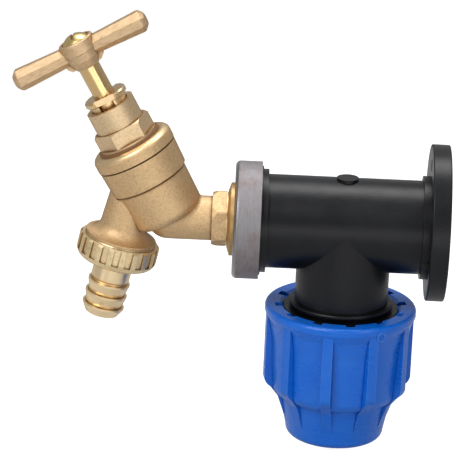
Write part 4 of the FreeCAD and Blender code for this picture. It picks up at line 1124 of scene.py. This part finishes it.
@dataclass(frozen=True)
class Window:
    """An upright bright stripe of the room, its bearing and half its width in degrees."""

    bearing: float
    half_width: float
    glow: float


@dataclass(frozen=True)
class SoftBox:
    """A rectangular lamp that looks at the object."""

    name: str
    place: Triple
    width: float
    height: float
    power: float

    def hang(self, target: Vector) -> None:
        """Adds the lamp to the scene.

        Args:
            target: The point that it looks at.
        """
        light = bpy.data.lights.new(self.name, "AREA")
        light.shape = "RECTANGLE"
        light.size = self.width
        light.size_y = self.height
        light.energy = self.power
        lamp = bpy.data.objects.new(self.name, light)
        lamp.location = self.place
        lamp.rotation_euler = (target - lamp.location).to_track_quat("-Z", "Y").to_euler()
        bpy.context.scene.collection.objects.link(lamp)


@dataclass
class Studio:
    """White floor, soft lights and the camera."""

    target: Vector = Vector((-83.3 * MM, 0.0, -2.5 * MM))
    distance: float = 1.3
    elevation: float = 19.0
    azimuth: float = 0.0
    roll: float = 2.6
    lens: float = 258.0
    floor_size: float = 1.0
    floor_drop: float = 14.0 * MM
    floor_colour: Colour = (0.45, 0.45, 0.45)
    floor_glow: float = 0.74
    floor_in_gloss: float = 0.1
    dim: float = 0.31
    bright: float = 0.42
    dusk: tuple[float, float] = (-0.7, 0.5)
    window_foot: tuple[float, float] = (-0.45, 0.0)
    window_core: float = 0.6
    windows: tuple[Window, ...] = (Window(41.0, 9.0, 2.3), Window(-46.0, 12.0, 1.1))
    boxes: tuple[SoftBox, ...] = (
        SoftBox("key_box", (-0.9, -1.1, 1.3), 0.9, 0.9, 17.0),
        SoftBox("fill_box", (0.1, -1.35, -0.1), 1.2, 0.5, 3.4),
        SoftBox("top_box", (-0.1, 0.45, 1.35), 1.0, 0.7, 12.0),
    )

    def build(self) -> None:
        """Sets up the whole studio."""
        scene = bpy.context.scene
        scene.view_settings.view_transform = "Standard"
        self.add_floor()
        self.add_world(scene)
        self.add_lights()
        self.add_camera(scene)

    def add_floor(self) -> None:
        """Lays the floor under the lowest point that the pipe nut comes down to."""
        level = CAD_BOX[0][2] - self.floor_drop
        bpy.ops.mesh.primitive_plane_add(size=self.floor_size, location=(0.0, 0.0, level))
        floor = bpy.context.object
        floor.name = "floor"
        graph = Surface("studio_paper")
        path = graph.node("ShaderNodeLightPath", {}, {}, "Is Camera Ray")
        outputs = path.socket.node.outputs
        glossy = Value(graph, outputs["Is Glossy Ray"])
        through = Value(graph, outputs["Is Transmission Ray"])
        seen = graph.mix((0.0, 0.0, 0.0), (1.0, 1.0, 1.0), path + glossy * self.floor_in_gloss + through)
        graph.shade(base_color=self.floor_colour, roughness=1.0, specular_ior_level=0.0)
        graph.shade(emission_color=seen, emission_strength=self.floor_glow)
        floor.data.materials.append(graph.material)
        bpy.ops.object.select_all(action="DESELECT")

    def add_world(self, scene: bpy.types.Scene) -> None:
        """Makes the room: white to the camera, dim behind the camera, with bright upright windows.

        Args:
            scene: The scene that gets it.
        """
        world = bpy.data.worlds.new("studio_room")
        world.use_nodes = True
        scene.world = world
        graph = Graph(world.node_tree)
        across, away, up = graph.parts(graph.node("ShaderNodeTexCoord", {}, {}, "Generated"))
        bearing = graph.maths("ARCTAN2", across, 0.0 - away)
        room = self.dim + away.step(*self.dusk) * (self.bright - self.dim)
        for window in self.windows:
            offset = (bearing - math.radians(window.bearing)).size()
            edge = math.radians(window.half_width)
            room = room + offset.step(edge, edge * self.window_core) * window.glow * up.step(*self.window_foot)
        seen = graph.node("ShaderNodeLightPath", {}, {}, "Is Camera Ray")
        sockets = {"Color": (1.0, 1.0, 1.0), "Strength": room * (1.0 - seen) + seen}
        background = graph.node("ShaderNodeBackground", {}, sockets)
        graph.end("ShaderNodeOutputWorld", background)

    def add_lights(self) -> None:
        """Hangs the lamps."""
        for box in self.boxes:
            box.hang(self.target)

    def add_camera(self, scene: bpy.types.Scene) -> None:
        """Puts the camera where the photographer stood.

        Args:
            scene: The scene that gets it.
        """
        lens = bpy.data.cameras.new("camera")
        lens.lens = self.lens
        lens.sensor_width = 36.0
        lens.sensor_fit = "HORIZONTAL"
        lens.clip_end = 50.0
        camera = bpy.data.objects.new("camera", lens)
        turn = Matrix.Rotation(math.radians(self.azimuth), 4, "Z")
        turn = turn @ Matrix.Rotation(math.radians(90.0 - self.elevation), 4, "X")
        back = turn @ Vector((0.0, 0.0, self.distance))
        rolled = turn @ Matrix.Rotation(math.radians(self.roll), 4, "Z")
        camera.matrix_world = Matrix.Translation(self.target + back) @ rolled
        scene.collection.objects.link(camera)
        scene.camera = camera


def main() -> None:
    """Builds every sub-assembly and the studio."""
    logging.basicConfig(level=logging.INFO, format="%(message)s")
    for assembly in (Elbow(), Tap(), Headworks(), HoseUnion(), PipeNut(), Studio()):
        LOG.info("%s", type(assembly).__name__)
        assembly.build()


if __name__ == "__main__":
    main()
